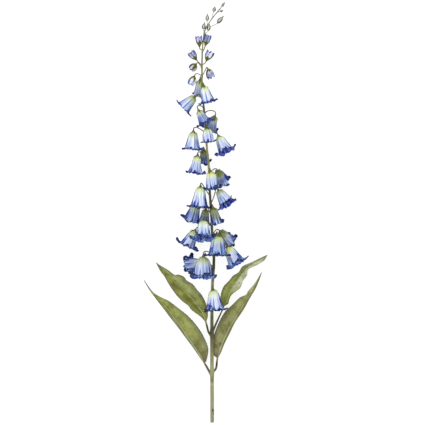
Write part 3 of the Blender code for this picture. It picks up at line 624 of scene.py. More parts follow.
def add_stalk(shape, kind, root, place, seed):
    """A stalk from the stem into the calyx: thick where it leaves the stem, slim in the middle,
    and thicker towards the flower, with five fine ribs. Its marks are the share along it and the
    flower's own share."""
    neck = place.top - place.axis * kind.neck
    line = stalk_curve(root, neck, place.axis, kind.hook, kind.stalk_points)
    line = np.vstack([line, neck + place.axis * kind.stalk_runs_on])
    t = evenly(len(line))
    radii = kind.stalk_radius * (0.86 + 0.75 * hump(t, 0.10) + 0.22 * t ** 3)
    ribs = 1 + 0.05 * np.cos(turns(STALK_SIDES) * LOBES)
    square_to_bend = np.cross(line[-1] - line[0], line[len(line) // 2] - line[0])
    add_rod(shape, line, radii[:, None] * ribs, STALK_SIDES, unit(square_to_bend),
            stalk=together(t, own_share(seed), 0))


def add_calyx(shape, kind, form, reach, half_width, place, seed):
    """A calyx: a ribbed turned base, and five sepals on the corolla's notch curve of (down, radius).

    A sepal's middle line is that curve read by its length, raised by a gap that widens towards
    the tip. Its half width is half_width times 1.15, times v to 0.25, times 1 less v to 2.2,
    where v is the share of its length, and its cross-section is an arch.
    """
    draw = np.random.default_rng(seed + 500)
    profile = even_curve(CALYX_PROFILE, evenly(kind.calyx_points)) * kind.calyx_size
    turn = turns(CALYX_SIDES)
    base = round_axis(profile[:, 1:] * (1 + 0.05 * np.cos(LOBES * turn)), turn, profile[:, :1])
    local = np.vstack([base.reshape(-1, 3), profile[[0, -1], :1] * (0, 0, 1)])
    own = own_share(seed)
    shape.add(place.top + local @ place.turn.T, rod_faces(len(profile), CALYX_SIDES), sepal=(0, own, 0))

    v = evenly(SEPAL_ROWS)[:, None]
    across = np.linspace(-1, 1, SEPAL_COLUMNS)
    half = np.maximum(half_width * v ** 0.25 * (1 - v ** 2.2) * 1.15, LEAST_SEPAL)
    meridian = even_curve(form.notch, evenly(60))
    run, slope = run_along(meridian), unit(np.gradient(meridian, axis=0))
    marks = together(v, own, np.abs(across))
    for k in range(LOBES):
        long = reach * draw.uniform(0.85, 1.15)
        down, radius, slope_down, slope_out = (
            np.interp(0.6 + v * long, run, part) for part in (*meridian.T, *slope.T))
        gap = 0.42 + kind.sepal_lift * draw.uniform(0.6, 1.4) * v ** 3 + 0.35 * (1 - across ** 2) * (1 - v)
        middle = 2 * math.pi * (k + 0.5) / LOBES + draw.uniform(-0.08, 0.08)
        faces = []
        for depth in (0, SEPAL_THICKNESS):
            out = radius + slope_down * (gap - depth)
            drop = down - slope_out * (gap - depth)
            faces.append(round_axis(out, middle + half * across / np.maximum(out, 1.2), drop))
        points = keep_on_table(place.top + np.array(faces) @ place.turn.T, 0.3)
        shape.add(points, blade_faces(SEPAL_ROWS, SEPAL_COLUMNS), sepal=[marks, marks])


def add_style(shape, length, place):
    """The style, a slim rod down the axis that swells at its end, with three curled stigma arms
    and five short anthers round its foot."""
    top, axis, turn = place
    share = evenly(20)
    line = top + axis * (share[:, None] * length * STYLE_REACH + 0.5)
    add_rod(shape, line, STYLE_RADIUS + 0.35 * share ** 3, 10, turn[:, 0], style=together(share, 0, 0))
    t = evenly(10)
    bend = (t * STIGMA_CURL)[:, None]
    for angle in turns(3):
        out = turn @ round_axis(1, angle, 0)
        arm = line[-1] + 1.8 * (axis * np.sin(bend) + out * (1 - np.cos(bend)))
        add_rod(shape, arm, STYLE_RADIUS * (1 - 0.5 * t), 8, np.cross(axis, out), style=(1, 0, 0))
    for angle in turns(LOBES) + math.pi / LOBES:
        out = turn @ round_axis(1, angle, 0)
        foot = top + axis * 1.2 + out * 1.9
        bow = out * (1.3 * np.sin(math.pi * t))[:, None]
        anther = foot + axis * (t[:, None] * length * ANTHER_REACH) + bow
        add_rod(shape, anther, 0.28 + 0.42 * soft_step(t, 0.35, 0.6), 6, np.cross(axis, out), style=(0, 1, 0))


def bell_form(bell):
    """The corolla of a bell, with curves from shares of its length: a round shoulder, a long body
    that widens slowly through the solid bell's rings, and a lip that flares and, by its curl,
    rolls on outwards and back."""
    lip, curl = bell.spread, bell.curl
    shoulder, middle, low = solid_radii(bell)
    bulge = 0.05 * bell.full
    flare = (NOTCH_OUT + 0.04 * curl) * lip
    body = [(0, BELL_EYE_RADIUS / bell.length), (0.010, 0.095), (0.050, 0.160 + bulge / 3),
            (0.13, shoulder + 0.018), (0.28, 0.245 + bulge), (0.45, middle), (0.65, (middle + low) / 2)]
    tip = body + [(0.84, low), (0.92, (low + TIP_OUT * lip) / 2), (TIP_DOWN, TIP_OUT * lip)]
    notch = body + [(0.82, low - 0.01), (0.88 + 0.02 * curl, (low + flare) / 2),
                    (NOTCH_DOWN + 0.025 * curl, flare)]
    if curl > 0:
        for curve, down, out, rolled in (
            (tip, TIP_DOWN, TIP_OUT, ((0.023, 0.09), (0.058, 0.11))),
            (notch, NOTCH_DOWN, NOTCH_OUT, ((0.005, 0.13), (0.045, 0.14))),
        ):
            curve += [(down - back * curl, (out + further * curl) * lip) for back, further in rolled]
    return Corolla(
        np.array(tip) * bell.length, np.array(notch) * bell.length, lobe_power=1.6, pleat=0.055, ruffle=0.038,
        ruffle_from=0.74, hook=0.21, hook_from=0.86, hook_width=0.62, wall=0.42, hook_wall=1.7)


def bud_form(bud):
    """The corolla of a bud, with curves from shares of its length and of its radius: a round bud's
    and an open cup's, mixed by how open it is."""
    downs = np.array([0, 0.05, 0.16, 0.34, 0.52, 0.68, 0.84, 0.97])
    curves = []
    for reach, closed, opened in (
        (1, [0.16, 0.38, 0.66, 0.94, 1, 0.97, 0.84, 0.58], [0.16, 0.28, 0.48, 0.78, 0.93, 1, 1, 0.90]),
        (0.82 - 0.10 * bud.open, [0.16, 0.36, 0.62, 0.88, 1, 0.99, 0.92, 0.78],
         [0.16, 0.26, 0.43, 0.68, 0.84, 0.90, 0.90, 0.84]),
    ):
        closed, opened = np.array(closed), np.array(opened)
        mixed = closed + (opened - closed) * bud.open
        curves.append(together(downs * reach, mixed) * (bud.length, bud.radius))
    return Corolla(
        *curves, lobe_power=1.15 - 0.1 * bud.open, pleat=0.11, ruffle=0.012, ruffle_from=0.6, hook=0.06,
        hook_from=0.90, hook_width=0.4, wall=0.42, hook_wall=0.5)


def make_bells(finishes):
    """Twenty-five bells, each a piece, with their stalks, calyces and styles as three more."""
    stalks, calyces, styles = Shape(), Shape(), Shape()
    for number, bell in enumerate(BELLS, start=1):
        place, form = place_of(bell, number), bell_form(bell)
        # Which flank gets the grey-blue painted shade.
        painted_shade_side = 1 if bell.heading > PAINTED_SHADE_LEFT_PAST else -1
        corolla = make_corolla(
            BELL_KIND, form, bell.length, place, number, bell.deep, bell.olive, bell.rim, painted_shade_side)
        corolla.piece(f"bell_{number:02d}_corolla", finishes["petal"], "petal_blue", f"bell_{number:02d}")
        add_stalk(stalks, BELL_KIND, bell.root, place, number)
        add_calyx(calyces, BELL_KIND, form, SEPAL_REACH, SEPAL_HALF_WIDTH, place, number)
        add_style(styles, bell.length, place)
    stalks.piece("bell_stalks", finishes["stalk"], "stem_green", "stem")
    calyces.piece("bell_calyces", finishes["calyx"], "stem_green", "stem")
    styles.piece("bell_styles", finishes["style"], "stem_green", "stem")


def make_buds(finishes):
    """Seven half-open buds, each a piece, with their stalks and calyces as two more."""
    stalks, calyces = Shape(), Shape()
    for number, bud in enumerate(BUDS, start=1):
        place, form, seed = place_of(bud, number), bud_form(bud), BUD_SEEDS + number
        # Which flank gets the grey-blue painted shade.
        painted_shade_side = -1 if bud.heading > PAINTED_SHADE_LEFT_PAST else 1
        corolla = make_corolla(BUD_KIND, form, bud.length, place, seed, bud.deep, BUD_OLIVE, BUD_RIM, painted_shade_side)
        corolla.piece(f"bud_{number}_petals", finishes["bud_petal"], "bud_blue", f"bud_{number}")
        add_stalk(stalks, BUD_KIND, bud.root, place, seed)
        add_calyx(calyces, BUD_KIND, form, bud.length * bud.sepal_share, bud.sepal_width, place, seed)
    stalks.piece("bud_stalks", finishes["stalk"], "stem_green", "stem")
    calyces.piece("bud_calyces", finishes["bud_calyx"], "stem_green", "stem")


def make_tip_buds(finishes):
    """Seven closed green buds with their stalks, in one piece: a rod whose radius follows the
    stalk, then the bud's profile, with five flutes."""
    shape = Shape()
    turn = turns(TIP_BUD_SIDES)
    # A mark for painted shade and light: high on the two sides, which are painted dark, and low on top and
    # underneath, which stay pale, with a faint five-fold rib.
    rib = 0.5 - 0.4 * np.cos(2 * turn) - 0.1 * np.cos(LOBES * turn)
    for bud in TIP_BUDS:
        axis = direction(bud.heading, bud.rise)
        base = np.array([bud.aside, bud.along, bud.height])
        stalk = stalk_curve(bud.root, base, axis, TIP_STALK_HOOK, 16)[:-1]
        swell = even_curve(np.array(TIP_BUD_PROFILE) * (bud.length, bud.radius), evenly(26))
        line = np.vstack([stalk, base + axis * swell[:, :1]])
        along = np.concatenate([np.full(len(stalk), -0.1), evenly(len(swell))])
        radii = np.concatenate([np.full(len(stalk), TIP_STALK_RADIUS), swell[:, 1]])
        flute = 1 + 0.10 * np.cos(LOBES * turn) * soft_step(along, 0, 0.3)[:, None]
        add_rod(shape, line, radii[:, None] * flute, TIP_BUD_SIDES, np.array([0, 0.3, 1]),
                sepal=together(along[:, None], bud.grey, rib))
    shape.piece("tip_buds", finishes["tip_bud"], "stem_green", "stem")


def make_stem(finishes):
    """The main stem with its cut end and the four stubs that carry the leaves.

    Rings stand square to the smooth stem line. A radius is the line's own times 1 plus 0.035 cos
    of five times the turn, plus a bump like a bell curve at each place where something grows and
    at the joint. The cut end is three more rings on the end plane, sunk a little at the pith.
    """
    shape = Shape()
    along, aside, radius = smooth_through(STEM_LINE, 20).T
    line = together(aside, along, stem_height(along))
    tangents = unit(np.gradient(line, axis=0))
    roots = np.array([flower.root for flower in BELLS + BUDS + TIP_BUDS])
    stubs = np.array([leaf.stub for leaf in LEAVES])
    swell = hump(along[:, None] - roots, 3.2).sum(axis=1)
    swell_low = hump(along[:, None] - stubs - 4, 7).sum(axis=1)
    joint = hump(along - JOINT_AT, 1.1)
    radii = radius * 0.97 + 0.35 * np.minimum(swell, 1.2) + 0.5 * swell_low + 0.22 * joint
    ribs = 1 + 0.035 * np.cos(LOBES * turns(STEM_SIDES) + along[:, None] / 90)
    sunk, wide = np.transpose([(0.5, 0.30), (0.15, 0.52), (0, 0.88), (0.1, 0.97)])[..., None]
    line = np.vstack([line[0] + tangents[0] * sunk, line[1:]])
    radii = np.vstack([np.repeat(radii[0] * wide, STEM_SIDES, axis=1), radii[1:, None] * ribs[1:]])
    tangents = np.vstack([*[tangents[:1]] * 3, tangents])
    along = np.concatenate([[-3, -2, -1, 0], along[1:]])
    marks = together(along / STEM_LENGTH, 0, np.clip(-along / 3, 0, 1))
    add_rod(shape, line, radii, STEM_SIDES, np.array([1, 0, 0]), tangents, stem=marks)
    for leaf in LEAVES:
        add_stub(shape, leaf)
    shape.piece("main_stem", finishes["stem"], "stem_green", "stem")


def add_stub(shape, leaf):
    """The short branch that carries a leaf: a quadratic Bezier from the stem that runs into the
    leaf's own stalk."""
    first, second = (np.array([x, y, z - STALK_BELOW_BLADE]) for y, x, z in leaf.midrib[:2])
    way = unit(second - first)
    t = evenly(16)
    weights = together((1 - t) ** 2, 2 * t * (1 - t), t ** 2)
    path = weights @ [stem_point(leaf.stub), first - way * STUB_REACH, first + way * 0.6]
    radii = np.interp(t, [0, 0.35, 1], [STUB_RADIUS * 1.15, STUB_RADIUS * 0.95, LEAF_STALK_RADII[0]])
    add_rod(shape, path, radii, 18, UP, stem=together(leaf.stub / STEM_LENGTH, t, 0))


def leaf_line(leaf):
    """A leaf's midrib as points of (aside, along, height)."""
    return np.array(leaf.midrib)[:, [1, 0, 2]]


def add_blade(shape, leaf, seed):
    """The blade, in rows from stalk to tip and columns from its left edge to its right.

    A row joins three curves at the same share of their lengths: left edge, midrib and right
    edge. A point's height is the midrib's plus its distance from it times the slope of its half,
    which is no steeper than brings its edge to the table. Added heights are a long wave and
    short crimps that grow towards the edge, an arch across each half, a ridge over the midrib,
    and a dip along every side vein. The window is v to 0.55 times 1 less v to 1.4, over 0.325,
    which is 1 where a long pointed leaf is widest.
    """
    draw = np.random.default_rng(seed + 900)
    share = evenly(BLADE_ROWS)
    line = even_curve(leaf_line(leaf)[leaf.blade_from:], share)
    tangent = np.gradient(line, axis=0)
    right = unit(together(tangent[:, 1], -tangent[:, 0]))
    run = run_along(line)[:, None]

    across = np.linspace(-1, 1, BLADE_COLUMNS)[None, :]
    out, right_half = np.abs(across), across > 0
    v = share[:, None]
    ways = [even_curve([line[0, :2], *edge, line[-1, :2]], share) + side * right * 0.7 - line[:, :2]
            for side, edge in ((-1, leaf.left_edge), (1, leaf.right_edge))]
    way = np.where(right_half[..., None], ways[1][:, None], ways[0][:, None])
    width = np.linalg.norm(way, axis=-1)
    reach = out * width

    clear = line[:, 2:] - SOLID_LEAF_THICKNESS
    lifted = np.clip(clear / LEAF_FLATTENS_BELOW, 0, 1)
    slope = np.tan(np.radians(np.where(right_half, leaf.rises[1], leaf.rises[0])))
    fold = slope * lifted * np.clip(v / LEAF_FOLDS_FULLY_AT, 0, 1)
    window = v ** 0.55 * (1 - v) ** 1.4 / 0.325
    wave = np.sin(2 * math.pi * leaf.waves * v + leaf.wave_phase + 1.8 * right_half)
    crimp = np.sin(run / 4.6 + draw.uniform(0, 6)) + 0.6 * np.sin(run / 2.7 + 2 * np.sign(across))
    phase = (run - reach * VEIN_SLANT) / VEIN_SPACING % 1
    vein = hump(np.minimum(phase, 1 - phase) * VEIN_SPACING, VEIN_WIDTH)
    lift = reach * np.maximum(fold, -np.maximum(clear, 0) / np.maximum(width, 0.1))
    lift = lift + LEAF_WAVE_HEIGHT * out ** 2 * window * lifted * wave
    lift = lift + 0.7 * crimp * out ** 3 * lifted * window
    lift = lift + 0.09 * width * np.sin(math.pi * out) * lifted
    lift = lift - 0.35 * vein * soft_step(out, 0.02, 0.1) * (1 - out ** 4) * (0.3 + 0.7 * lifted)
    lift = lift + 0.5 * hump(out, 0.05) * (0.2 + 0.8 * lifted)

    teeth = 1 + 0.012 * np.sin(run * 1.1 + np.sign(across)) * out ** 6
    flat = line[:, None, :2] + way * (out * teeth)[..., None]
    heights = (line[:, 2:] + lift)[..., None]
    upper = keep_on_table(np.concatenate([flat, heights], axis=-1), SOLID_LEAF_THICKNESS)
    thickness = LEAF_THICKNESS * (0.45 + 0.55 * (1 - out ** 3))
    normal = unit(np.cross(np.gradient(upper, axis=1), np.gradient(upper, axis=0)) + (0, 0, TINY))
    under = keep_on_table(upper - normal * thickness[..., None], 0.15)

    pale = [amount * soft_step(v, start - 0.01, start + 0.15) for amount, start in leaf.pale]
    pale = np.where(right_half, pale[1], pale[0]) * soft_step(out, 0.05, 0.3)
    whole, base = leaf.brown
    part = together(out, v, base + (whole - base) * soft_step(v, 0.05, 0.45))
    shape.add([upper, under], blade_faces(BLADE_ROWS, BLADE_COLUMNS),
              blade=[together(np.sign(across) * reach, run, side) for side in (pale, 1)], leaf=[part, part])


def make_leaves(finishes):
    """Four leaves, each one piece: its blade, and its stalk with the midrib under the blade."""
    for seed, leaf in enumerate(LEAVES, start=1):
        shape = Shape()
        add_blade(shape, leaf, seed)
        line = smooth_through(leaf_line(leaf), MIDRIB_SAMPLES)
        line = line[: round(len(line) * MIDRIB_ENDS_AT)]
        t = evenly(len(line))
        radii = np.interp(t, [0, 0.25, 1], LEAF_STALK_RADII)
        line[:, 2] = np.maximum(line[:, 2] - STALK_BELOW_BLADE, radii + 0.1)
        blade_at = MIDRIB_SAMPLES * leaf.blade_from / (len(line) - 1)
        add_rod(shape, line, radii, 12, UP,
                blade=(0, 0, leaf.rib), leaf=together(0, t - blade_at, leaf.brown[0]))
        shape.piece(leaf.name + "_blade", finishes["leaf"], "leaf_green", leaf.name)


def tone(colour):
    """A colour of 0 to 255 as shown on a screen, as the light values that a shader takes. Another
    node's output stays as it is."""
    if isinstance(colour, bpy.types.NodeSocket):
        return colour
    shown = np.array(colour) / 255
    light = np.where(shown <= 0.04045, shown / 12.92, ((shown + 0.055) / 1.055) ** 2.4)
    return (*light.tolist(), 1)


def set_inputs(node, values):
    """Values on a node's own sockets."""
    for name, value in values.items():
        node.inputs[name].default_value = value


class Tree:
    """Adds nodes to a material or a group; an input is a value or another node's output."""

    def __init__(self, tree):
        self.tree = tree

    def node(self, kind, inputs, out=0, **settings):
        """One output of a new node, or all where out is None."""
        made = self.tree.nodes.new(kind)
        for name, value in settings.items():
            setattr(made, name, value)
        for name, value in inputs.items():
            if isinstance(value, bpy.types.NodeSocket):
                self.tree.links.new(value, made.inputs[name])
            else:
                made.inputs[name].default_value = value
        return made.outputs if out is None else made.outputs[out]

    def math(self, operation, *values, clamp=False):
        """The operation on one, two or three values."""
        return self.node("ShaderNodeMath", dict(enumerate(values)), operation=operation, use_clamp=clamp)

    def times(self, first, *others):
        """The product of all values."""
        for other in others:
            first = self.math("MULTIPLY", first, other)
        return first

    def plus(self, value, *shares):
        """The value plus share times (other - 0.5) for each pair of other and share."""
        for other, share in shares:
            value = self.math("MULTIPLY_ADD", self.math("SUBTRACT", other, 0.5), share, value)
        return value

    def less(self, value):
        """1 less the value."""
        return self.math("SUBTRACT", 1, value)

    def step(self, value, start, end):
        """0 to 1 as the value goes from start to end, smoothly."""
        return self.node("ShaderNodeMapRange", {"Value": value, "From Min": start, "From Max": end},
                         interpolation_type="SMOOTHSTEP")

    def fall(self, value, start, end):
        """1 to 0 as the value goes from start to end, smoothly."""
        return self.less(self.step(value, start, end))

    def mix(self, share, a, b):
        """Colour a, going over to colour b by the share."""
        return self.node("ShaderNodeMix", {0: share, 6: tone(a), 7: tone(b)}, 2, data_type="RGBA")

    def coats(self, colour, *coats):
        """The colour under coats of (share, colour), one over another."""
        for share, over in coats:
            colour = self.mix(share, colour, over)
        return colour

    def ramp(self, value, stops):
        """Colours along a value, from a list of (place, colour)."""
        made = self.tree.nodes.new("ShaderNodeValToRGB")
        self.tree.links.new(value, made.inputs[0])
        elements = made.color_ramp.elements
        while len(elements) < len(stops):
            elements.new(0.5)
        for element, (place, colour) in zip(elements, stops):
            element.position = place
            element.color = tone(colour)
        return made.outputs[0]

    def place(self):
        """Object coordinates."""
        return self.node("ShaderNodeTexCoord", {}, 3)

    def mark(self, name):
        """A piece's own attribute, as a vector."""
        return self.node("ShaderNodeAttribute", {}, 1, attribute_name=name)

    def split(self, vector):
        """The three parts of a vector."""
        return self.node("ShaderNodeSeparateXYZ", {0: vector}, None)

    def group(self, name, inputs):
        """The outputs of a node group with these inputs."""
        return self.node("ShaderNodeGroup", inputs, None, node_tree=bpy.data.node_groups[name])

    def mottle(self, scale, low, high):
        """A mask of soft blotches."""
        return self.group("mottle", {"Scale": scale, "Low": low, "High": high})[0]


class Finish(Tree):
    """A material with its Principled shader; what is the same all over is set on its sockets."""

    def __init__(self, name, roughness, subsurface=0, coat=0):
        self.made = bpy.data.materials.new(name)
        self.made.use_nodes = True
        super().__init__(self.made.node_tree)
        self.shader = self.tree.nodes["Principled BSDF"]
        set_inputs(self.shader, {
            "Roughness": roughness, "Subsurface Weight": subsurface, "Subsurface Radius": (0.6, 0.8, 1),
            "Subsurface Scale": 0.0015, "Coat Weight": coat, "Specular IOR Level": 0.15,
        })

    def done(self, colour, grain, lines, strength, distance, roughness=None):
        """The material with its colour, its relief of skin grain and lines, and, where it varies,
        its roughness."""
        height = self.group("skin relief", {"Scale": grain, "Lines": lines})[0]
        bump = self.node("ShaderNodeBump", {"Strength": strength, "Distance": distance, "Height": height})
        for name, output in (("Base Color", colour), ("Normal", bump), ("Roughness", roughness)):
            if output is not None:
                self.tree.links.new(output, self.shader.inputs[name])
        return self.made


def new_group(name, inputs, outputs):
    """An empty node group, as its tree and its input sockets. An input with no value of its own is
    a vector, and all else are numbers."""
    made = bpy.data.node_groups.new(name, "ShaderNodeTree")
    for key, value in inputs.items():
        kind = "NodeSocketVector" if value is None else "NodeSocketFloat"
        socket = made.interface.new_socket(key, in_out="INPUT", socket_type=kind)
        if value is not None:
            socket.default_value = value
    for key in outputs:
        made.interface.new_socket(key, in_out="OUTPUT", socket_type="NodeSocketFloat")
    return Tree(made), made.nodes.new("NodeGroupInput").outputs


def make_groups():
    """The effects that several finishes share."""
    t, given = new_group("lengthwise streaks", {"Round": None, "Around": 6, "Along": 1, "Seed": 0},
                         ("Broad", "Fine", "Spots"))
    x, y, z = t.split(given["Round"])
    results = {}
    for key, round_scale, along_scale in (("Broad", 1, 1), ("Fine", 3.3, 1), ("Spots", 1.6, 9)):
        around, along = t.times(given["Around"], round_scale), t.times(given["Along"], along_scale)
        place = t.node("ShaderNodeCombineXYZ",
                       {0: t.times(x, around), 1: t.times(y, around), 2: t.times(z, along)})
        noise = t.node("ShaderNodeTexNoise", {"Vector": place, "W": given["Seed"], "Scale": 1, "Detail": 2},
                       noise_dimensions="4D")
        results[key] = t.step(noise, 0.32, 0.68)
    t.node("NodeGroupOutput", results, None)

    t, given = new_group("mottle", {"Scale": 100, "Low": 0.4, "High": 0.6}, ("Mask",))
    noise = t.node("ShaderNodeTexNoise", {"Vector": t.place(), "Scale": given["Scale"], "Detail": 4})
    t.node("NodeGroupOutput", {"Mask": t.step(noise, given["Low"], given["High"])}, None)

    t, given = new_group("skin relief", {"Scale": 900, "Lines": 0}, ("Height",))
    grain = t.node("ShaderNodeTexNoise", {"Vector": t.place(), "Scale": given["Scale"], "Detail": 3})
    t.node("NodeGroupOutput", {"Height": t.math("ADD", grain, given["Lines"])}, None)


def petal_finish(name, stops, royal, navy, ink, sky, lilac, pale, wedge_at):
    """A petal: colours from dome to lip, streaked lengthwise with white and blue; lilac lobes
    between paler ones, a grey-blue painted shade on one flank, and a dome that may be green or
    yellow. Wedges of royal blue with navy hearts run up from the rim at the pleats and ribs, and
    further up on both flanks as painted shade, under sky blue frills and pale patches that are
    painted highlights; dark lines follow the creases, dark lines of painted shade follow both
    flanks, and tips and lip are ink blue. The inside goes from navy to light blue, mottled with
    navy, with royal near the rim and painted highlights of light blue there."""
    t = Finish(name, 0.6, subsurface=0.08)
    fold, reach, inside = t.split(t.mark("petal"))
    down = t.split(t.mark("round"))[2]
    deep, olive, seed = t.split(t.mark("tint"))
    flank, lobe, rim = t.split(t.mark("flank"))
    broad, fine, spots = t.group(
        "lengthwise streaks", {"Round": t.mark("round"), "Around": 3.4, "Along": 0.7, "Seed": seed})

    below = t.times(t.step(down, 0.22, 0.6), t.plus(0.80, (rim, 0.30), (deep, 0.5)))
    # Painted shade: grey-blue on the flank marked 1, below the dome.
    painted_shade_flank = t.times(t.step(t.plus(flank, (broad, -0.5)), 0.3, 0.85), t.step(down, 0.2, 0.6), 0.64)
    green = t.math("MULTIPLY", olive, t.fall(down, 0.14, 0.46), clamp=True)
    past = t.times(t.math("SUBTRACT", olive, 1, clamp=True), t.fall(down, 0.6, 0.9))
    green = t.math("MULTIPLY", t.math("ADD", green, past, clamp=True), t.plus(0.85, (fine, 0.3)), clamp=True)
    body = t.coats(
        t.ramp(t.plus(down, (broad, 0.14)), stops),
        (t.times(t.fall(lobe, 0, 0.5), t.step(down, 0.25, 0.6), 0.55), lilac),
        (t.times(t.step(broad, 0.35, 0.95), t.step(down, 0.1, 0.4), 0.75), (244, 249, 255)),
        (t.times(t.step(t.less(broad), 0.50, 1), below, 0.66), (98, 134, 212)),
        (t.times(t.step(t.less(fine), 0.5, 0.95), below, 0.42), (90, 122, 194)),
        (painted_shade_flank, (62, 96, 154)),
        # The flower's deep tint, partly its own blue and partly painted shade.
        (t.times(deep, t.step(down, 0.08, 0.5), 0.9), (58, 84, 146)),
        (t.times(t.step(t.less(olive), 1.1, 2.2), t.fall(down, 0.10, 0.40)), (214, 222, 142)),
        (green, t.mix(broad, (80, 92, 56), (136, 146, 96))),
    )

    ridge = t.math("ABSOLUTE", t.math("COSINE", t.times(fold, math.pi)))
    # Painted shade: the blue wedges reach further up on both flanks.
    painted_shade_both_flanks = t.step(t.math("ABSOLUTE", flank), 0.4, 1)
    high = t.plus(reach, (ridge, 0.10), (broad, -0.26), (spots, 0.12), (deep, 0.08), (lobe, 0.16),
                  (rim, 0.44), (painted_shade_both_flanks, t.plus(0.22, (rim, 0.24))))
    blots = t.plus(spots, (fine, 0.5))
    well_blue = t.step(rim, 0.65, 0.70)
    # Painted highlights: sky blue frills near the rim.
    painted_highlight_frill = t.times(t.step(blots, 0.5, 0.75), t.step(high, wedge_at, wedge_at + 0.04), well_blue,
                    t.fall(rim, 0.92, 0.98), 0.6)
    # Painted highlights: pale patches towards the rim.
    painted_highlight_patch = t.times(t.step(t.plus(fine, (spots, -0.5), (rim, 0.25)), 0.65, 0.85),
                    t.step(reach, 0.6, 0.9), 0.75)
    crease = t.times(t.step(fold, 0.80, 0.98), t.step(t.plus(reach, (broad, -0.5)), 0.3, 0.65), 0.8)
    # Painted shade: a dark line down the flank marked -1.
    line = t.times(t.step(t.times(flank, -1), 0.80, 0.98),
                   t.step(t.plus(reach, (spots, 0.4)), 0.15, 0.4), 0.95)
    tips = t.times(t.fall(fold, 0.16, 0.42), t.step(t.plus(reach, (rim, 0.06)), 0.93, 0.97),
                   t.plus(0.60, (rim, 0.7)))
    lip = t.times(t.step(t.plus(reach, (fine, -0.03)), 0.960, 0.982), t.step(broad, 0, 0.2),
                  t.plus(0.75, (rim, 0.5)))
    inky = t.math("MAXIMUM", tips, lip)
    body = t.coats(
        body,
        (t.step(high, wedge_at, wedge_at + 0.05), royal),
        (t.step(high, wedge_at + 0.06, wedge_at + 0.12), navy),
        (painted_highlight_frill, sky),
        (painted_highlight_patch, pale),
        (crease, navy),
        (line, t.mix(t.step(down, 0.2, 0.5), (64, 82, 58), navy)),
        # Painted shade: a dark blue line down the flank marked 1.
        (t.times(t.step(flank, 0.90, 0.99), t.step(down, 0.15, 0.4), 0.7), (34, 60, 112)),
        (inky, ink),
    )

    # Painted highlights inside, near the rim.
    light = t.times(t.step(t.plus(fine, (spots, -0.8)), 0.35, 0.6), t.step(reach, 0.8, 0.9), well_blue, 0.85)
    lining = t.coats(
        t.mix(t.step(reach, 0.35, 0.95), (34, 40, 98), (128, 144, 218)),
        (t.times(t.step(broad, 0.45, 0.9), t.step(reach, 0.6, 0.95), 0.75), (200, 212, 248)),
        (t.step(blots, 0.40, 0.65), navy),
        (t.times(t.step(fold, 0.75, 0.95), 0.7), navy),
        (t.times(t.step(reach, 0.80, 0.92), 0.5), royal),
        (light, t.mix(t.times(broad, 0.6), sky, pale)),
        (inky, ink),
    )
    rough = t.node("ShaderNodeMapRange", {"Value": broad, "To Min": 0.5, "To Max": 0.68})
    return t.done(t.mix(inside, body, lining), 1400, t.times(fine, 0.9), 0.4, 0.0004, rough)


def calyx_finish(name, shade, light, brown):
    """Olive green sepals, browner on some flowers, darker at their edges and brown at their tips."""
    t = Finish(name, 0.55, subsurface=0.05)
    v, own, out = t.split(t.mark("sepal"))
    colour = t.coats(
        t.mix(t.mottle(260, 0.35, 0.65), shade, light),
        (t.times(t.step(own, 0.4, 0.9), 0.8), brown),
        (t.times(t.step(out, 0.45, 1), 0.6), (70, 68, 36)),
        (t.times(t.step(v, 0.55, 1), 0.7), (84, 74, 46)),
    )
    return t.done(colour, 1600, out, 0.4, 0.0004)


def stalk_finish():
    """Slim stalks, olive where they leave the stem and ochre-brown over the bend of some."""
    t = Finish("stalk olive", 0.5)
    v, own, _ = t.split(t.mark("stalk"))
    colour = t.mix(t.mottle(180, 0.35, 0.65), (82, 84, 50), (122, 122, 80))
    colour = t.mix(t.times(t.step(v, 0.25, 0.8), t.step(own, 0.3, 0.8)), colour, (102, 86, 56))
    return t.done(colour, 1500, 0, 0.35, 0.0003)


def stem_finish():
    """The stem: khaki green below, a narrow straw ring at the joint with bark brown above it,
    brown-olive among the bells, banded green among the buds and grey-green at the tip, with fine
    lengthwise grain, a dark scar with a streak below it, brown stubs and a pale pith at the cut."""
    t = Finish("stem skin", 0.5, coat=0.05)
    along, stub, cut = t.split(t.mark("stem"))
    khaki, straw, bark, pale = (150, 148, 116), (188, 188, 150), (130, 126, 98), (158, 160, 116)
    moss, bronze, olive, shade = (126, 130, 90), (112, 109, 70), (92, 97, 66), (66, 66, 46)
    grey = (122, 124, 116)
    stops = [
        (0, khaki), (0.093, khaki), (0.0943, straw), (0.0953, bark), (0.108, bark), (0.118, khaki),
        (0.13, pale), (0.155, moss), (0.19, bronze), (0.222, shade), (0.25, olive), (0.29, moss),
        (0.335, pale), (0.355, shade), (0.42, shade), (0.46, olive), (0.53, shade), (0.56, shade),
        (0.61, pale), (0.632, olive), (0.66, pale), (0.70, bronze), (0.75, shade), (0.80, olive),
        (0.835, moss), (0.855, moss), (0.872, olive), (0.90, pale), (0.93, moss), (1, grey),
    ]
    place = t.place()
    stretched = t.node("ShaderNodeMapping", {"Vector": place, "Scale": (900, 22, 900)})
    lines = t.step(t.node("ShaderNodeTexNoise", {"Vector": stretched, "Scale": 1, "Detail": 3}), 0.35, 0.65)
    scar = (ORIGIN + stem_point(SCAR_AT) + SCAR_OFF_MIDDLE) * MM
    away = t.node("ShaderNodeVectorMath", {0: place, 1: tuple(scar)}, 1, operation="DISTANCE")
    side, run, _ = t.split(place)
    streak = t.times(
        t.step(side, scar[0] - 0.0004, scar[0] + 0.0002), t.step(run, scar[1] - 0.011, scar[1] - 0.007),
        t.fall(run, scar[1] - 0.001, scar[1] + 0.001), 0.8)
    colour = t.coats(
        t.ramp(along, stops),
        (t.times(lines, 0.35), (70, 66, 36)),
        (t.times(t.mottle(60, 0.4, 0.62), 0.3), (160, 158, 112)),
        (t.times(t.step(stub, 0.1, 0.6), 0.8), (74, 66, 38)),
        (streak, (40, 38, 18)),
        (t.fall(away, 0.0022, 0.0028), (20, 18, 8)),
        (t.step(cut, 0.2, 0.9), (206, 204, 160)),
    )
    return t.done(colour, 1300, lines, 0.45, 0.0005)


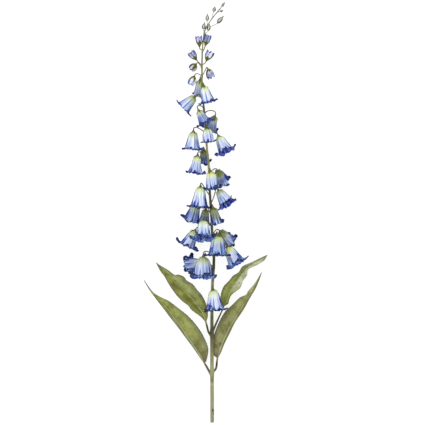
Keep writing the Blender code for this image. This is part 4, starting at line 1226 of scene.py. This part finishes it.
def leaf_finish():
    """The blade: olive green with a painted highlight, a light band halfway out on each half, paler
    veins and midrib with a band of painted shade in deep green beside the midrib, a greyer outer part
    and a brown edge; a mauve-brown base and tip, a half that may be darkened to deep green by painted
    shade or pale like the underside, and a brown stalk."""
    t = Finish("leaf skin", 0.55, subsurface=0.04, coat=0.03)
    aside, run, side = t.split(t.mark("blade"))
    out, v, brown = t.split(t.mark("leaf"))
    reach = t.math("ABSOLUTE", aside)
    phase = t.math("DIVIDE", t.math("SUBTRACT", run, t.times(reach, VEIN_SLANT)), VEIN_SPACING)
    near = t.times(t.math("PINGPONG", phase, 0.5), VEIN_SPACING)
    vein = t.times(t.fall(near, 0.15, 1.1), t.fall(out, 0.6, 0.95))
    rib = t.fall(reach, 0.2, 0.9)
    mottle, spots, patches = t.mottle(55, 0.36, 0.64), t.mottle(240, 0.44, 0.66), t.mottle(120, 0.38, 0.62)
    # Painted highlight: a light yellow-green band halfway out on each half.
    painted_highlight_band = t.times(t.step(out, 0.2, 0.45), t.fall(out, 0.6, 0.85), t.plus(0.45, (mottle, 0.6)),
                    t.plus(1, (spots, -0.4)))
    # Painted shade: a half darkened to deep green where its pale mark is below 0.
    painted_shade_half = t.times(t.math("MULTIPLY", side, -1, clamp=True), t.plus(0.75, (patches, 0.5)))
    under = t.coats(
        t.mix(t.times(mottle, patches), (160, 164, 120), (204, 208, 172)),
        (t.times(vein, 0.6), (228, 230, 204)),
        (t.times(t.step(out, 0.90, 0.99), 0.85), (104, 96, 66)),
    )
    colour = t.coats(
        t.mix(mottle, (102, 108, 50), (148, 154, 84)),
        (t.times(patches, 0.5), (168, 174, 104)),
        (t.times(spots, 0.55), (88, 92, 40)),
        (painted_highlight_band, (154, 164, 76)),
        (brown, t.mix(mottle, (98, 94, 58), (138, 136, 98))),
        (t.times(vein, 0.3), (166, 168, 100)),
        # Painted shade: a deep green band on each side of the midrib.
        (t.times(t.fall(reach, 0.8, 4), t.less(rib), 0.5), (84, 92, 24)),
        (painted_shade_half, t.mix(mottle, (88, 90, 12), (118, 122, 30))),
        (t.times(rib, t.plus(0.12, (patches, 0.24))), (166, 168, 106)),
        (t.times(t.step(out, 0.5, 0.85), 0.55), (112, 114, 80)),
        (t.times(t.step(out, 0.88, 0.98), 0.9), (80, 76, 44)),
        (t.math("MULTIPLY", side, 1, clamp=True), under),
        (t.times(t.fall(v, 0, 0.12), 0.7), (100, 88, 62)),
        (t.times(t.step(v, 0.80, 1), 0.75), (110, 104, 84)),
        (t.fall(v, -0.06, -0.01), t.mix(spots, (56, 48, 26), (98, 92, 48))),
    )
    return t.done(colour, 900, t.math("SUBTRACT", t.times(mottle, 0.6), t.times(vein, 1.2)), 0.45, 0.0006)


def tip_bud_finish():
    """Closed buds: dark olive on both sides as painted shade and pale grey on top and underneath as
    painted light, with a faint rib pattern, a dark base and a blue-grey point; the nearer the tip of
    the spike, the greyer they are. Their stalks are grey-green."""
    t = Finish("closed bud green", 0.6)
    v, grey, rib = t.split(t.mark("sepal"))
    mottle = t.mottle(330, 0.3, 0.7)
    colour = t.coats(
        t.mix(mottle, (186, 192, 166), (222, 224, 210)),
        # Painted shade on both sides, painted light on top and underneath.
        (t.step(t.plus(rib, (mottle, 0.3)), 0.18, 0.52), (60, 68, 44)),
        (t.fall(v, 0.05, 0.30), (52, 56, 30)),
        (t.times(t.step(v, 0.55, 0.85), 0.85), (116, 124, 138)),
        (t.fall(v, -0.09, -0.01), (128, 136, 112)),
        (t.times(grey, 0.6), (112, 116, 114)),
    )
    return t.done(colour, 1500, 0, 0.4, 0.0003)


def style_finish():
    """Styles: greenish white, violet towards the stigma; anthers are ochre."""
    t = Finish("style cream", 0.5)
    v, anther, _ = t.split(t.mark("style"))
    colour = t.coats(
        t.mix(t.step(v, 0.3, 1), (206, 214, 170), (170, 168, 214)),
        (anther, (196, 170, 92)),
        (t.times(t.mottle(400, 0.3, 0.7), 0.25), (120, 116, 120)),
    )
    return t.done(colour, 1500, 0, 0.3, 0.0003)


def make_finishes():
    """Every finish by the name that the pieces ask for."""
    make_groups()
    bell_stops = [
        (0, (150, 164, 98)), (0.07, (196, 210, 144)), (0.18, (206, 222, 170)), (0.32, (208, 224, 216)),
        (0.50, (206, 218, 243)), (0.78, (188, 206, 250)), (1, (150, 178, 242)),
    ]
    bud_stops = [(0, (190, 196, 130)), (0.3, (220, 220, 228)), (0.6, (214, 212, 240)), (1, (196, 194, 232))]
    return {
        "petal": petal_finish(
            "bell petal", bell_stops, royal=(28, 62, 182), navy=(10, 26, 112), ink=(8, 15, 64),
            sky=(74, 136, 204), lilac=(190, 190, 242), pale=(192, 214, 250), wedge_at=0.87),
        "bud_petal": petal_finish(
            "bud petal", bud_stops, royal=(60, 72, 172), navy=(40, 42, 104), ink=(34, 34, 74),
            sky=(120, 130, 206), lilac=(206, 200, 236), pale=(206, 206, 242), wedge_at=0.86),
        "calyx": calyx_finish("bell calyx green", (72, 80, 34), (124, 130, 66), (104, 94, 52)),
        "bud_calyx": calyx_finish("bud calyx olive", (56, 62, 18), (118, 122, 44), (92, 88, 34)),
        "stalk": stalk_finish(),
        "stem": stem_finish(),
        "leaf": leaf_finish(),
        "tip_bud": tip_bud_finish(),
        "style": style_finish(),
    }


def make_camera():
    """Looks straight down on the lying spike from far away, with the tip of the spike up."""
    data = bpy.data.cameras.new("camera")
    data.sensor_width = SENSOR
    data.lens = SENSOR * CAMERA_DISTANCE / PICTURE_SIDE
    camera = put_in_scene("camera", data)
    aside, along = PICTURE_CENTRE
    camera.location = ((aside + ORIGIN[0]) * MM, (along + ORIGIN[1]) * MM,
                       MIDDLE_HEIGHT * MM + CAMERA_DISTANCE)
    bpy.context.scene.camera = camera


def make_stage():
    """A plain pale floor, soft light from above and a bright surround."""
    mesh = bpy.data.meshes.new("floor")
    corners = [(x * FLOOR_REACH, y * FLOOR_REACH, 0) for x, y in ((-1, -1), (1, -1), (1, 1), (-1, 1))]
    mesh.from_pydata(corners, [], [(0, 1, 2, 3)])
    finish = bpy.data.materials.new("floor white")
    finish.use_nodes = True
    set_inputs(finish.node_tree.nodes["Principled BSDF"], {
        "Base Color": (0.28, 0.28, 0.28, 1), "Emission Color": (1, 1, 1, 1), "Emission Strength": SURROUND,
        "Roughness": 0.9, "Specular IOR Level": 0.1,
    })
    mesh.materials.append(finish)
    put_in_scene("floor", mesh)

    for name, place, size, power in (
        ("key light", (-0.6, 0.6, 2), 1.6, 20),
        ("fill light", (0.9, -0.8, 1.8), 1.8, 7),
    ):
        data = bpy.data.lights.new(name, "AREA")
        data.size = size
        data.energy = power
        lamp = put_in_scene(name, data)
        lamp.location = place
        lamp.rotation_euler = (-Vector(place)).to_track_quat("-Z", "Y").to_euler()

    world = bpy.data.worlds.new("surround")
    world.use_nodes = True
    set_inputs(world.node_tree.nodes["Background"], {"Color": (1, 1, 1, 1), "Strength": SURROUND})
    bpy.context.scene.world = world
    bpy.context.scene.view_settings.view_transform = "Standard"


make_camera()
make_stage()
finishes = make_finishes()
make_stem(finishes)
make_bells(finishes)
make_buds(finishes)
make_tip_buds(finishes)
make_leaves(finishes)
